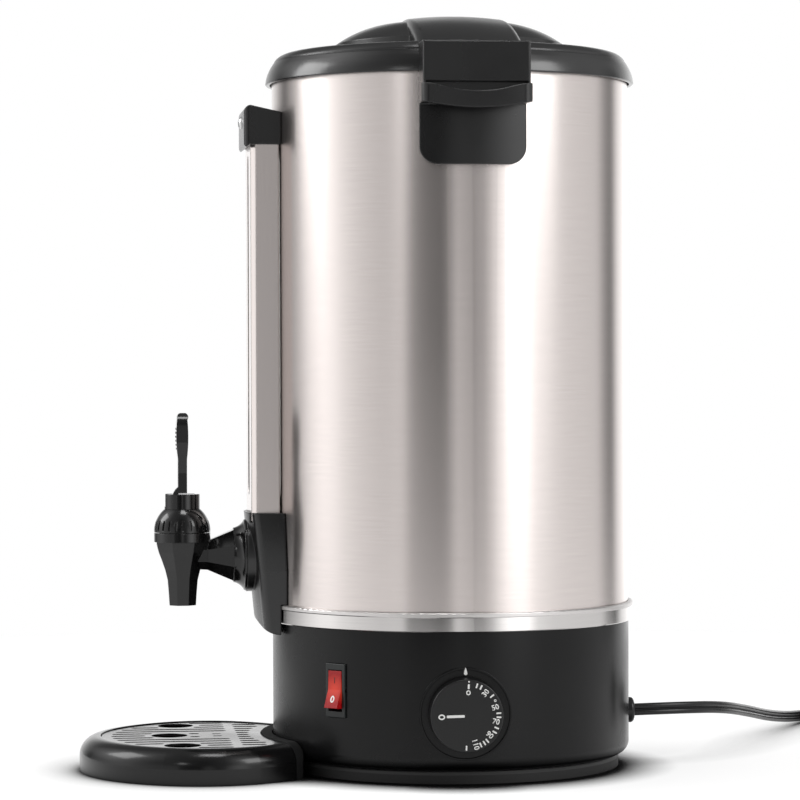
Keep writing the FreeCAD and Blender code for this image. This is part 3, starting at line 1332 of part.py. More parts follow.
def make_tap_gasket():
    ring = rod(GASKET_RADIUS, CUT_IN, TEE_LOW - CONTACT_GAP, 0, TAP_Z)
    ring = ring.cut(rod(SHANK_TUBE_RADIUS + SHAFT_PLAY, CUT_IN, CUT_OUT, 0, TAP_Z))
    ring = ring.cut(disc(BODY_RADIUS + SHAFT_PLAY, TAP_Z - 40, TAP_Z + 40))
    return turned(ring, FRONT)


def inner_seat():
    return math.sqrt(BODY_INSIDE ** 2 - NUT_RADIUS ** 2) - CONTACT_GAP


def make_tap_washer():
    seat = inner_seat()
    ring = rod(NUT_RADIUS, seat - WASHER_THICKNESS, seat, 0, TAP_Z)
    return turned(ring.cut(rod(SHANK_TUBE_RADIUS + SHAFT_PLAY, CUT_IN, CUT_OUT, 0, TAP_Z)), FRONT)


def make_tap_nut():
    front = inner_seat() - WASHER_THICKNESS - CONTACT_GAP
    nut = hexagon(NUT_RADIUS, front - NUT_HEIGHT, front, 0, TAP_Z)
    return turned(nut.cut(rod(SHANK_TUBE_RADIUS + SHAFT_PLAY, CUT_IN, CUT_OUT, 0, TAP_Z)), FRONT)


# Tap body: threaded shank, round flange, eight-sided cone and a barrel that narrows to the nozzle
def octagon(radius, place):
    step = 2 * math.pi / SHANK_SIDES
    corners = [
        place(radius * math.cos(step * (i + 0.5)), radius * math.sin(step * (i + 0.5)))
        for i in range(SHANK_SIDES)
    ]
    return Part.Wire(Part.makePolygon(corners + corners[:1]).Edges)


def shank_octagon(radius, x):
    return octagon(radius, lambda a, b: V(x, a, TAP_Z + b))


def barrel_octagon(radius, z):
    return octagon(radius, lambda a, b: V(TAP_OFFSET + a, b, z))


def make_tap_body():
    flange_back = FLANGE_SEAT + CONTACT_GAP
    flange_front = flange_back + SHANK_FLANGE
    axis = V(TAP_OFFSET, 0, 0)
    flange = face([
        (0, flange_back),
        (SHANK_FLANGE_RADIUS, flange_back),
        (SHANK_FLANGE_RADIUS - 0.2, flange_front - 0.4, SHANK_FLANGE_RADIUS - 1.0, flange_front),
        (SHANK_ROOT_RADIUS + 1.6, flange_front + 1.5, SHANK_ROOT_RADIUS - 0.6, SHANK_ROOT + 1.0),
        (0, SHANK_ROOT + 1.0),
    ], lambda r, x: V(x, r, TAP_Z))
    flange = sound(flange.revolve(V(0, 0, TAP_Z), X, 360))
    cone = sound(Part.makeLoft([
        shank_octagon(SHANK_ROOT_RADIUS, SHANK_ROOT),
        shank_octagon(SHANK_NECK_RADIUS, SHANK_NECK),
        shank_octagon(SHANK_NECK_RADIUS - 0.6, TAP_OFFSET - 4),
    ], True, True))
    shank = rod(SHANK_TUBE_RADIUS, SHANK_TAIL, flange_back + 1, 0, TAP_Z)
    barrel = sound(Part.makeLoft([barrel_octagon(r, z) for z, r in BARREL_STATIONS], True, True))
    ring = disc(BONNET_RADIUS, BARREL_RING_Z, BARREL_TOP_Z, TAP_OFFSET)
    chamber_top = BONNET_RADIUS - BARREL_WALL
    chamber = spin([
        (0, NOZZLE_Z - 1),
        (NOZZLE_BORE, NOZZLE_Z - 1),
        (NOZZLE_BORE, SEAT_Z),
        (NOZZLE_BORE + 2.4, SEAT_Z + 1.6),
        (NOZZLE_BORE + 3.6, SEAT_Z + 6),
        (NOZZLE_BORE + 6.2, SEAT_Z + 14),
        (chamber_top, SEAT_Z + 18),
        (chamber_top, BARREL_TOP_Z + 1),
        (0, BARREL_TOP_Z + 1),
    ], axis)
    bore = rod(SHANK_BORE_RADIUS, SHANK_TAIL - 1, TAP_OFFSET, 0, TAP_Z)
    feed = disc(TEE_BORE, TAP_Z, TAP_Z + 20, GLASS_OFFSET)
    feed = feed.common(rod(SHANK_TUBE_RADIUS + 1, GLASS_OFFSET - 5, GLASS_OFFSET + 5, 0, TAP_Z))
    body = shank.fuse([flange, cone, barrel, ring]).cut([chamber, bore, feed])
    return turned(body, FRONT)


def make_tap_bonnet():
    axis = V(TAP_OFFSET, 0, 0)
    low = BONNET_LOW_Z
    spigot = BONNET_RADIUS - BARREL_WALL - 0.1
    dome = spin([
        (BONNET_BORE, low - BONNET_SPIGOT),
        (spigot, low - BONNET_SPIGOT),
        (spigot, low),
        (BONNET_RADIUS, low),
        (BONNET_RADIUS, low + 1.6),
        (BONNET_RADIUS - 2.0, low + 8.6, BONNET_TOP_RADIUS, BONNET_TOP_Z),
        (STEM_RADIUS + HOLE_PLAY, BONNET_TOP_Z),
        (STEM_RADIUS + HOLE_PLAY, BONNET_TOP_Z - 2.4),
        (BONNET_BORE, BONNET_TOP_Z - 2.4),
    ], axis)
    tools = []
    for i in range(BONNET_RIBS):
        angle = 360 / BONNET_RIBS * i
        cutter = Part.makeBox(4, 1.3, BONNET_RIB_Z - low - 1.2,
                              V(TAP_OFFSET + BONNET_RADIUS - BONNET_GROOVE, -0.65, low + 1.2))
        cutter.rotate(V(TAP_OFFSET + BONNET_RADIUS, 0, low + 1.2), Y, -12)
        cutter.rotate(axis, Z, angle)
        tools.append(cutter)
    return turned(dome.cut(tools), FRONT)


# The collar carries the lever's pivot pin and is slotted for the lever's foot
def make_tap_collar():
    low = BONNET_TOP_Z + CONTACT_GAP
    body = disc(COLLAR_RADIUS, low, COLLAR_TOP_Z, TAP_OFFSET)
    body = rounded(body, 0.5, lambda edge: edge.BoundBox.ZMin > COLLAR_TOP_Z - 0.1)
    slot = block(TAP_OFFSET - 7.5, TAP_OFFSET + 14, COLLAR_SLOT_HALF, low + 1.6, COLLAR_TOP_Z + 1)
    bore = disc(STEM_RADIUS + HOLE_PLAY, low - 1, COLLAR_TOP_Z + 1, TAP_OFFSET)
    pin_hole = Part.makeCylinder(PIVOT_RADIUS + SHAFT_PLAY, COLLAR_RADIUS + lever_pin_half() + SHAFT_PLAY,
                                 V(TAP_OFFSET + PIVOT_AHEAD, -COLLAR_RADIUS, PIVOT_Z), Y)
    return turned(body.cut([slot, bore, pin_hole]), FRONT)


# The pin is pressed in from one side, and its hole stops short of the other
def lever_pin_half():
    return math.sqrt(COLLAR_RADIUS ** 2 - (PIVOT_AHEAD + PIVOT_RADIUS) ** 2) - 0.2


def make_lever_pin():
    return turned(cross_rod(PIVOT_RADIUS, lever_pin_half(), TAP_OFFSET + PIVOT_AHEAD, PIVOT_Z), FRONT)


# Lever: a paddle with a ribbed thumb pad, and a forked tongue that lifts the stem's head
def make_tap_lever():
    thick = LEVER_THICKNESS / 2
    head_thick = LEVER_HEAD_THICKNESS / 2
    foot = LEVER_FOOT_HALF
    head = LEVER_HEAD_HALF
    top = LEVER_TOP_Z
    x = TAP_OFFSET
    side = slab([
        (x - thick, LEVER_LOW_Z),
        (x + thick, LEVER_LOW_Z),
        (x + thick, LEVER_HEAD_Z - 10),
        (x + head_thick + 0.3, LEVER_HEAD_Z + 2, x + head_thick - 0.4, top - 2.5),
        (x + head_thick - 1.6, top - 0.3, x, top),
        (x - thick - 0.2, top - 0.6, x - thick - 0.3, top - 4),
        (x - head_thick, LEVER_HEAD_Z, x - thick, LEVER_HEAD_Z - 10),
    ], -20, 20)
    front_view = board([
        (-foot, LEVER_LOW_Z),
        (-foot, LEVER_LOW_Z + 12),
        (-head, LEVER_HEAD_Z),
        (-head, top - head),
        (0, top, head, top - head),
        (head, LEVER_HEAD_Z),
        (foot, LEVER_LOW_Z + 12),
        (foot, LEVER_LOW_Z),
    ], x - 20, x + 20)
    paddle = side.common(front_view)
    grooves = [
        cross_rod(0.6, LEVER_HEAD_HALF - 2.2, x + head_thick + 0.25, LEVER_HEAD_Z - 4 + 2.4 * i)
        for i in range(LEVER_PAD_RIBS)
    ]
    paddle = paddle.cut(grooves)
    pivot = x + PIVOT_AHEAD
    knuckle = cross_rod(KNUCKLE_RADIUS, TONGUE_HALF, pivot, PIVOT_Z)
    tongue_low = PIVOT_Z - TONGUE_HEIGHT / 2
    tongue_top = PIVOT_Z + TONGUE_HEIGHT / 2
    tongue = block(x - TONGUE_BEHIND, pivot, TONGUE_HALF, tongue_low, tongue_top)
    neck = slab([
        (x + thick - 0.4, LEVER_LOW_Z + 0.5),
        (x + thick - 0.4, LEVER_LOW_Z - 0.9),
        (pivot - 1.6, PIVOT_Z + 2.0),
        (pivot + 2.6, PIVOT_Z + 2.0),
        (x + thick + 1.6, LEVER_LOW_Z + 2.0),
        (x + thick - 0.4, LEVER_LOW_Z + 4.0),
    ], -TONGUE_HALF, TONGUE_HALF)
    stem_way = block(x - 6, x + STEM_RADIUS + 1.0, STEM_RADIUS + 0.35, tongue_low - 1, tongue_top + 0.1)
    head_way = disc(STEM_HEAD_RADIUS + 0.4, tongue_top, LEVER_LOW_Z - 0.6, x)
    pin_hole = cross_rod(PIVOT_RADIUS + SHAFT_PLAY, 20, pivot, PIVOT_Z)
    lever = knuckle.fuse([tongue, neck]).cut([stem_way, head_way]).fuse(paddle).cut(pin_hole)
    return turned(lever, FRONT)


# Valve stem with its head over the lever's tongue and a shoulder under the spring
def stem_head_low():
    return PIVOT_Z + TONGUE_HEIGHT / 2 + 0.15


def make_tap_stem():
    axis = V(TAP_OFFSET, 0, 0)
    head = stem_head_low()
    shoulder = BARREL_TOP_Z - 3.4
    stem = spin([
        (0, SEAT_Z + 4.0),
        (1.6, SEAT_Z + 4.0),
        (1.6, SEAT_Z + 9.0),
        (STEM_RADIUS, SEAT_Z + 9.0),
        (STEM_RADIUS, shoulder - 1.2),
        (7.4, shoulder - 1.2),
        (7.4, shoulder),
        (STEM_RADIUS, shoulder),
        (STEM_RADIUS, head),
        (STEM_HEAD_RADIUS, head),
        (STEM_HEAD_RADIUS, head + STEM_HEAD_HEIGHT),
        (0, head + STEM_HEAD_HEIGHT),
    ], axis)
    return turned(stem, FRONT)


def make_seat_cup():
    axis = V(TAP_OFFSET, 0, 0)
    seat = NOZZLE_BORE
    cup = spin([
        (0, SEAT_Z - 0.6),
        (seat - 0.8, SEAT_Z - 0.6),
        (seat - 0.2, SEAT_Z + 0.2),
        (seat + 1.6, SEAT_Z + 1.6),
        (seat + 2.0, SEAT_Z + 5.0),
        (seat - 0.6, SEAT_Z + 8.6),
        (1.65, SEAT_Z + 8.6),
        (1.65, SEAT_Z + 3.95),
        (0, SEAT_Z + 3.95),
    ], axis)
    return turned(cup, FRONT)


# The return spring is wound as one wire, a helix of tangent arcs between shoulder and bonnet
def make_tap_spring():
    low = BARREL_TOP_Z - 3.4 + SPRING_WIRE + 0.05
    high = BONNET_TOP_Z - 2.4 - SPRING_WIRE - 0.05
    rise = high - low
    steps = SPRING_TURNS * 4
    slope = rise / (2 * math.pi * SPRING_RADIUS * SPRING_TURNS)

    def at(step):
        angle = math.pi / 2 * step
        point = V(TAP_OFFSET + SPRING_RADIUS * math.cos(angle), SPRING_RADIUS * math.sin(angle),
                  low + rise * step / steps)
        heading = V(-math.sin(angle), math.cos(angle), slope).normalize()
        return point, heading

    edges = []
    for step in range(steps):
        start, heading = at(step)
        end, last = at(step + 1)
        edges += biarc(start, heading, end, last)
    start, heading = at(0)
    return turned(swept(edges, round_section(start, heading, SPRING_WIRE)), FRONT)


# Brewing set: pump tube with its bell foot, basket and basket cover
def make_pump_tube():
    low = FLOOR_Z - WELL_DEPTH + PUMP_FOOT_HEIGHT + 1
    outer = disc(TUBE_RADIUS, low, TUBE_TOP_Z)
    collar = disc(BASKET_SLEEVE + 1.6, BASKET_LOW_Z - 2.2, BASKET_LOW_Z - CONTACT_GAP)
    return outer.fuse(collar).cut(disc(TUBE_RADIUS - TUBE_WALL, low - 1, TUBE_TOP_Z + 1))


def make_pump_foot():
    low = FLOOR_Z - WELL_DEPTH + CONTACT_GAP
    sheet = PUMP_SHEET
    socket = TUBE_RADIUS + SHAFT_PLAY
    top = low + PUMP_FOOT_HEIGHT
    bell = spin([
        (PUMP_FOOT_RADIUS, low),
        (PUMP_FOOT_RADIUS, low + 1.5),
        (PUMP_FOOT_RADIUS - 4, low + 5.2, PUMP_FOOT_RADIUS - 10, top - 2),
        (socket + sheet + 2, top),
        (socket + sheet, top + 6),
        (socket, top + 6),
        (socket, top + 0.5),
        (TUBE_RADIUS - TUBE_WALL, top + 0.5),
        (TUBE_RADIUS - TUBE_WALL, top - sheet),
        (PUMP_FOOT_RADIUS - 10, top - 2 - sheet),
        (PUMP_FOOT_RADIUS - 4 - sheet, low + 5.2 - sheet, PUMP_FOOT_RADIUS - sheet, low + 1.0),
        (PUMP_FOOT_RADIUS - sheet, low),
    ])
    notches = [
        turned(block(PUMP_FOOT_RADIUS - 5, PUMP_FOOT_RADIUS + 2, 3.0, low - 1, low + 1.2), angle)
        for angle in (45, 135, 225, 315)
    ]
    return bell.cut(notches)


def basket_holes(low, high, rings):
    return [
        turned(disc(BASKET_HOLE_RADIUS, low, high, radius), 360 / count * i)
        for radius, count in rings
        for i in range(count)
    ]


def make_filter_basket():
    sheet = BASKET_SHEET
    low = BASKET_LOW_Z
    top = low + BASKET_HEIGHT
    sleeve = BASKET_SLEEVE
    basket = spin([
        (TUBE_RADIUS + FIT_GAP, low),
        (BASKET_RADIUS - 3, low),
        (BASKET_RADIUS - 0.9, low + 0.9, BASKET_RADIUS, low + 3),
        (BASKET_RADIUS, top - 1),
        (BASKET_RADIUS + 2, top - 1),
        (BASKET_RADIUS + 2, top),
        (BASKET_RADIUS - sheet, top),
        (BASKET_RADIUS - sheet, low + 3.2),
        (BASKET_RADIUS - sheet - 0.7, low + sheet + 0.7, BASKET_RADIUS - 3.2, low + sheet),
        (sleeve, low + sheet),
        (sleeve, top - 6),
        (TUBE_RADIUS + FIT_GAP, top - 6),
    ])
    return basket.cut(basket_holes(low - 1, low + 2, BASKET_RINGS))


def make_basket_cover():
    sheet = BASKET_SHEET
    low = BASKET_LOW_Z + BASKET_HEIGHT + CONTACT_GAP
    cover = spin([
        (TUBE_RADIUS + FIT_GAP, low + 6),
        (COVER_KNOB_RADIUS, low + 5.2),
        (COVER_KNOB_RADIUS + 6, low),
        (BASKET_RADIUS + 1.5, low),
        (BASKET_RADIUS + 1.5, low + sheet),
        (COVER_KNOB_RADIUS + 6.4, low + sheet),
        (COVER_KNOB_RADIUS + 0.4, low + 5.2 + sheet),
        (TUBE_RADIUS + FIT_GAP, low + 6 + sheet),
    ])
    rings = ((32.0, COVER_HOLES), (50.0, COVER_HOLES + 6))
    return cover.cut(basket_holes(low - 1, low + 2, rings))


# Drip tray: an oval with the base's arc cut out of it, and a pierced grille let into its rim
def oval(inset):
    """Four tangent arcs that follow the tray's oval, drawn in by inset."""
    a = TRAY_HALF_X
    b = TRAY_HALF_Y
    end = TRAY_END_RADIUS
    side = ((a - end) ** 2 + b ** 2 - end ** 2) / (2 * (b - end))
    angle = math.atan2(side - b, a - end)
    small = end - inset
    large = side - inset

    def end_point(sx, sy):
        return (sx * (a - end + small * math.cos(angle)), TRAY_Y + sy * small * math.sin(angle))

    top = TRAY_Y + b - inset
    low = TRAY_Y - b + inset
    right = a - inset
    return [
        end_point(1, -1),
        (right, TRAY_Y) + end_point(1, 1),
        (0, top) + end_point(-1, 1),
        (-right, TRAY_Y) + end_point(-1, -1),
        (0, low) + end_point(1, -1),
    ]


def oval_body(inset, z0, z1):
    return plate(oval(inset), z0, z1)


def tray_plan(base_gap):
    """The tray's plan with the base's arc out of it and its two tips rounded off."""
    base = Part.Face(Part.Wire([Part.Circle(ORIGIN, Z, base_gap).toShape()]))
    plan = face(oval(0), lambda x, y: V(x, y, 0)).cut(base).Faces[0]
    return plan.makeOffset2D(-TRAY_TIP_ROUND).makeOffset2D(TRAY_TIP_ROUND)


def make_drip_tray():
    base_gap = BASE_RADIUS + TRAY_GAP
    outer = rounded(oval_body(0, 0, TRAY_HEIGHT), TRAY_ROUND,
                    lambda edge: edge.BoundBox.ZMin > TRAY_HEIGHT - 0.1)
    outer = outer.common(tray_plan(base_gap).extrude(V(0, 0, TRAY_HEIGHT)))
    ledge_in = GRILLE_INSET + TRAY_LEDGE
    ledge_arc = base_gap + TRAY_ARC_WALL + TRAY_LEDGE
    basin = oval_body(ledge_in, TRAY_FLOOR_Z, TRAY_HEIGHT + 1).cut(disc(ledge_arc, -1, 40))
    recess = oval_body(GRILLE_INSET, TRAY_LEDGE_Z, TRAY_HEIGHT + 1)
    recess = recess.cut(disc(base_gap + TRAY_ARC_WALL, -1, 40))
    skirt_in = oval_body(TRAY_WALL, -1, TRAY_LEDGE_Z - TRAY_ROUND * 0.6)
    skirt_in = skirt_in.cut(oval_body(ledge_in - TRAY_WALL, -2, TRAY_HEIGHT))
    skirt_in = skirt_in.cut(disc(ledge_arc, -2, TRAY_HEIGHT))
    under = oval_body(ledge_in, -1, TRAY_FLOOR_Z - TRAY_FLOOR).cut(disc(ledge_arc, -2, 40))
    return outer.cut([basin, recess, skirt_in, under])


def slot_spans(x):
    """The stretches along Y that a slot at x may take between borders, holes, ribs and crescent."""
    a = TRAY_HALF_X - GRILLE_INSET - GRILLE_BORDER
    b = TRAY_HALF_Y - GRILLE_INSET - GRILLE_BORDER
    if abs(x) >= a:
        return []
    reach = b * math.sqrt(1 - (x / a) ** 2)
    low = TRAY_Y - reach
    high = TRAY_Y + reach
    crescent = BASE_RADIUS + TRAY_GAP + TRAY_ARC_WALL + GRILLE_CRESCENT_GAP + CRESCENT_WIDTH
    if abs(x) < crescent:
        high = min(high, -math.sqrt(crescent ** 2 - x * x))
    blocked = [(CROSS_RIB_Y - CROSS_RIB_HALF, CROSS_RIB_Y + CROSS_RIB_HALF)]
    rim = CUP_HOLE_RADIUS + CUP_HOLE_RIM
    holes = (
        (-CUP_HOLE_SPREAD, CUP_HOLE_SIDE_Y),
        (CUP_HOLE_SPREAD, CUP_HOLE_SIDE_Y),
        (0, CUP_HOLE_MIDDLE_Y),
    )
    for hole_x, hole_y in holes:
        if abs(x - hole_x) < rim:
            span = math.sqrt(rim ** 2 - (x - hole_x) ** 2)
            blocked.append((hole_y - span, hole_y + span))
    if abs(x) < MIDDLE_BAND_HALF:
        blocked.append((CUP_HOLE_MIDDLE_Y, CROSS_RIB_Y))
    spans = []
    start = low
    for from_y, to_y in sorted(blocked):
        if from_y - start > SLOT_SHORTEST:
            spans.append((start, min(from_y, high)))
        start = max(start, to_y)
    if high - start > SLOT_SHORTEST:
        spans.append((start, high))
    return [(y0, y1) for y0, y1 in spans if y1 - y0 > SLOT_SHORTEST]


def slot_cutter(x, y0, y1, z0, z1):
    half = SLOT_WIDTH / 2
    return plate([
        (x - half, y0 + half),
        (x, y0, x + half, y0 + half),
        (x + half, y1 - half),
        (x, y1, x - half, y1 - half),
    ], z0, z1)


def make_tray_grille():
    low = TRAY_LEDGE_Z + CONTACT_GAP
    high = low + GRILLE_SHEET
    edge_arc = BASE_RADIUS + TRAY_GAP + TRAY_ARC_WALL + GRILLE_CRESCENT_GAP
    grille = oval_body(GRILLE_INSET + GRILLE_GAP, low, high).cut(disc(edge_arc, -1, 40))
    tools = []
    columns = int((TRAY_HALF_X - GRILLE_INSET) / SLOT_PITCH) + 1
    for i in range(-columns, columns + 1):
        x = i * SLOT_PITCH
        for y0, y1 in slot_spans(x):
            tools.append(slot_cutter(x, y0, y1, low - 1, high + 1))
    eye_x, eye_y = DRAIN_EYE
    for side in (-1, 1):
        tools.append(Part.makeBox(eye_x, eye_y, GRILLE_SHEET + 2,
                                  V(side * DRAIN_EYE_X - eye_x / 2, DRAIN_EYE_Y - eye_y / 2, low - 1)))
        tools.append(slot_cutter(side * DRAIN_SLOT_X, DRAIN_SLOT_Y - 3, DRAIN_SLOT_Y + 3, low - 1, high + 1))
    for hole_x, hole_y in ((-CUP_HOLE_SPREAD, CUP_HOLE_SIDE_Y), (CUP_HOLE_SPREAD, CUP_HOLE_SIDE_Y),
                           (0, CUP_HOLE_MIDDLE_Y)):
        tools.append(disc(CUP_HOLE_RADIUS, low - 1, high + 1, hole_x, hole_y))
    return grille.cut(tools)


# Cord: grommet, free stretch, put-away coil and plug
def make_cord_grommet():
    outside = BASE_RADIUS + GROMMET_PROUD
    seat = BASE_RADIUS - 1 + CONTACT_GAP
    inside = BASE_INSIDE - 5.0
    body = face([
        (0, inside),
        (GROMMET_NECK - 1.2, inside),
        (GROMMET_NECK, BASE_INSIDE - 1.5),
        (GROMMET_NECK, seat),
        (GROMMET_RADIUS, seat),
        (GROMMET_RADIUS, outside - 1.8),
        (GROMMET_RADIUS - 0.6, outside - 0.6, GROMMET_RADIUS - 1.8, outside),
        (0, outside),
    ], lambda r, x: V(x, r, CORD_EXIT_Z))
    return turned(sound(body.revolve(V(0, 0, CORD_EXIT_Z), X, 360)), REAR)


CORD_START_Y = BASE_RADIUS + GROMMET_PROUD
COIL_LOW_Z = CORD_WIDTH / 2 + 0.2
COIL_HIGH_Z = COIL_LOW_Z + CORD_WIDTH + COIL_LAYER_GAP


def coil_point(turns):
    """A point of the coil's centre line: two layers that spiral in, climb and spiral out again."""
    middle = COIL_TURNS / 2
    angle = math.radians(COIL_START) - 2 * math.pi * turns
    radius = COIL_RADIUS - COIL_PITCH * min(turns, COIL_TURNS - turns)
    climbed = min(1.0, max(0.0, (turns - middle + COIL_CLIMB) / (2 * COIL_CLIMB)))
    eased = climbed * climbed * (3 - 2 * climbed)
    return V(COIL_CENTRE[0] + radius * math.cos(angle), COIL_CENTRE[1] + radius * math.sin(angle),
             COIL_LOW_Z + (COIL_HIGH_Z - COIL_LOW_Z) * eased)


def coil_heading(turns):
    step = 1e-4
    return V(coil_point(turns + step) - coil_point(turns - step)).normalize()


def lead_in():
    """The level run by which the cord reaches the coil, along the coil's first heading."""
    start = coil_point(0)
    heading = coil_heading(0)
    return start, V(heading.x, heading.y, 0).normalize()


def cord_route():
    start, heading = lead_in()
    return [
        V(0, CORD_START_Y, CORD_EXIT_Z),
        V(0, CORD_START_Y + 30, CORD_EXIT_Z + 0.8),
        V(-26, CORD_START_Y + 61.15, 29.8),
        V(-76, CORD_START_Y + 88.15, 21.5),
        V(-132, CORD_START_Y + 114.15, 12.0),
        V(-184, CORD_START_Y + 143.15, 5.4),
        V(start.x - heading.x * CORD_WIDTH, start.y - heading.y * CORD_WIDTH, COIL_LOW_Z),
    ]


def make_power_cord():
    points = cord_route()
    edges, radii = route_edges(points)
    print("cord radii:", [round(r, 1) for r in radii])
    cord = swept(edges, flat_section(points[0], V(0, 1, 0)))
    section = CORD_THICKNESS * (CORD_WIDTH - CORD_THICKNESS) + math.pi * CORD_THICKNESS ** 2 / 4
    length = sum(edge.Length for edge in edges)
    volume_ratio = cord.Volume / section / length
    print("cord length %.1f, volume over section times length %.4f" % (length, volume_ratio))
    return cord


def coil_end():
    heading = coil_heading(COIL_TURNS)
    return coil_point(COIL_TURNS), V(heading.x, heading.y, 0).normalize()


def make_cord_coil():
    start, heading = lead_in()
    end, last = coil_end()
    edges = [Part.LineSegment(start - heading * CORD_WIDTH, start).toShape()]
    steps = math.ceil(COIL_TURNS * 4)
    here = start
    here_heading = heading
    for step in range(1, steps + 1):
        turns = COIL_TURNS * step / steps
        there = coil_point(turns)
        there_heading = last if step == steps else coil_heading(turns)
        edges += biarc(here, here_heading, there, there_heading)
        here = there
        here_heading = there_heading
    edges.append(Part.LineSegment(end, end + last * CORD_WIDTH).toShape())
    coil = swept(edges, flat_section(start - heading * CORD_WIDTH, heading))
    print("coil length %.1f" % sum(edge.Length for edge in edges))
    print("coil's least gap to itself %.2f" % coil_self_gap())
    return coil


def coil_self_gap():
    """The least gap between turns, measured on points of the centre line with the section upright."""
    count = 360
    points = [coil_point(COIL_TURNS * i / count) for i in range(count + 1)]
    core = (CORD_WIDTH - CORD_THICKNESS) / 2
    apart = int(count / COIL_TURNS / 2)
    least = 1e9
    for i in range(len(points)):
        for j in range(i + apart, len(points)):
            flat = math.hypot(points[i].x - points[j].x, points[i].y - points[j].y)
            high = max(0.0, abs(points[i].z - points[j].z) - 2 * core)
            least = min(least, math.hypot(flat, high) - CORD_THICKNESS)
    return least


def tail_route():
    """From the coil's upper end down to the plug's collar on the table."""
    end, heading = coil_end()
    side = V(-heading.y, heading.x, 0)
    plug_z = PLUG_RADIUS + 0.1
    return [
        end + heading * CORD_WIDTH,
        end + heading * 30 - side * 0.6 + Z * 0.8,
        V(end.x, end.y, plug_z - 1.2) + heading * 54 - side * 5,
        V(end.x, end.y, plug_z) + heading * 77 - side * 13,
    ]


def make_cord_tail():
    points = tail_route()
    edges, radii = route_edges(points)
    print("tail radii:", [round(r, 1) for r in radii])
    heading = V(points[1] - points[0]).normalize()
    return swept(edges, flat_section(points[0], heading))


def make_plug():
    points = tail_route()
    heading = V(points[-1] - points[-2]).normalize()
    tail = PLUG_TAIL
    body = face([
        (0, 0),
        (5.2, 0),
        (6.4, tail),
        (PLUG_RADIUS - 3, tail + 5),
        (PLUG_RADIUS - 0.6, tail + 7, PLUG_RADIUS, tail + 10),
        (PLUG_RADIUS, tail + PLUG_LENGTH - 2),
        (PLUG_RADIUS - 0.6, tail + PLUG_LENGTH - 0.6, PLUG_RADIUS - 2, tail + PLUG_LENGTH),
        (0, tail + PLUG_LENGTH),
    ], lambda r, x: V(x, r, 0))
    body = sound(body.revolve(ORIGIN, X, 360))
    grip = [
        Part.makeBox(PLUG_LENGTH - 16, 9, 60, V(tail + 9, side * (PLUG_RADIUS + 3) - 4.5, -30))
        for side in (-1, 1)
    ]
    body = body.cut(grip)
    front = tail + PLUG_LENGTH
    pins = []
    for side in (-1, 1):
        y = side * PLUG_PIN_SPACING / 2
        pins.append(rod(PLUG_PIN_RADIUS, front - 1, front + PLUG_PIN_LENGTH - 1.5, y, 0))
        pins.append(Part.makeCone(PLUG_PIN_RADIUS, 1.2, 1.5, V(front + PLUG_PIN_LENGTH - 1.5, y, 0), X))
    plug = body.fuse(pins)
    plug.rotate(ORIGIN, Z, math.degrees(math.atan2(heading.y, heading.x)))
    plug.translate(points[-1])
    return plug


def main():
    os.makedirs("parts", exist_ok=True)
    save("vessel", make_vessel())
    save("trim_band", make_trim_band())
    save("base_housing", make_base_housing())
    save("base_pan", make_base_pan())
    save("foot_ring", make_foot_ring())
    save("base_studs", *make_base_studs())
    save("stud_nuts", *make_stud_nuts())
    save("heat_plate", make_heat_plate())
    save("heating_element", make_heating_element())
    save("thermal_cutout", make_thermal_cutout())
    save("thermostat", make_thermostat())
    save("thermostat_nut", make_thermostat_nut())
    save("thermostat_bulb", make_thermostat_bulb())
    save("thermostat_knob", make_knob())
    save("knob_shaft", make_knob_shaft())
    save("switch_case", make_switch_case())
    save("rocker", make_rocker())
    save("terminal_block", make_terminal_block())
    save("leads", *make_leads())
    save("lid", make_lid())
    save("lid_liner", make_lid_liner())
    save("lid_screws", *make_lid_screws())
    handle = make_side_handle()
    save("side_handle_right", handle)
    save("side_handle_left", turned(handle, 180))
    save("handle_screws", *make_handle_screws())
    save("gauge_column", make_gauge_column())
    save("gauge_glass", make_gauge_glass())
    save("gauge_seals", *make_gauge_seals())
    save("gauge_bracket", make_gauge_bracket())
    save("gauge_screw", make_gauge_screw())
    save("gauge_nut", make_gauge_nut())
    save("tap_housing", make_tap_housing())
    save("gauge_tee", make_gauge_tee())
    save("tap_gasket", make_tap_gasket())
    save("tap_washer", make_tap_washer())
    save("tap_nut", make_tap_nut())
    save("tap_body", make_tap_body())
    save("tap_bonnet", make_tap_bonnet())
    save("tap_collar", make_tap_collar())
    save("lever_pin", make_lever_pin())
    save("tap_lever", make_tap_lever())
    save("tap_stem", make_tap_stem())
    save("seat_cup", make_seat_cup())
    save("tap_spring", make_tap_spring())
    save("pump_tube", make_pump_tube())
    save("pump_foot", make_pump_foot())
    save("filter_basket", make_filter_basket())
    save("basket_cover", make_basket_cover())
    save("drip_tray", make_drip_tray())
    save("tray_grille", make_tray_grille())
    save("cord_grommet", make_cord_grommet())
    save("power_cord", make_power_cord())
    save("cord_coil", make_cord_coil())
    save("cord_tail", make_cord_tail())
    save("plug", make_plug())


main()
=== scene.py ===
import math

import bpy
from mathutils import Matrix, Vector


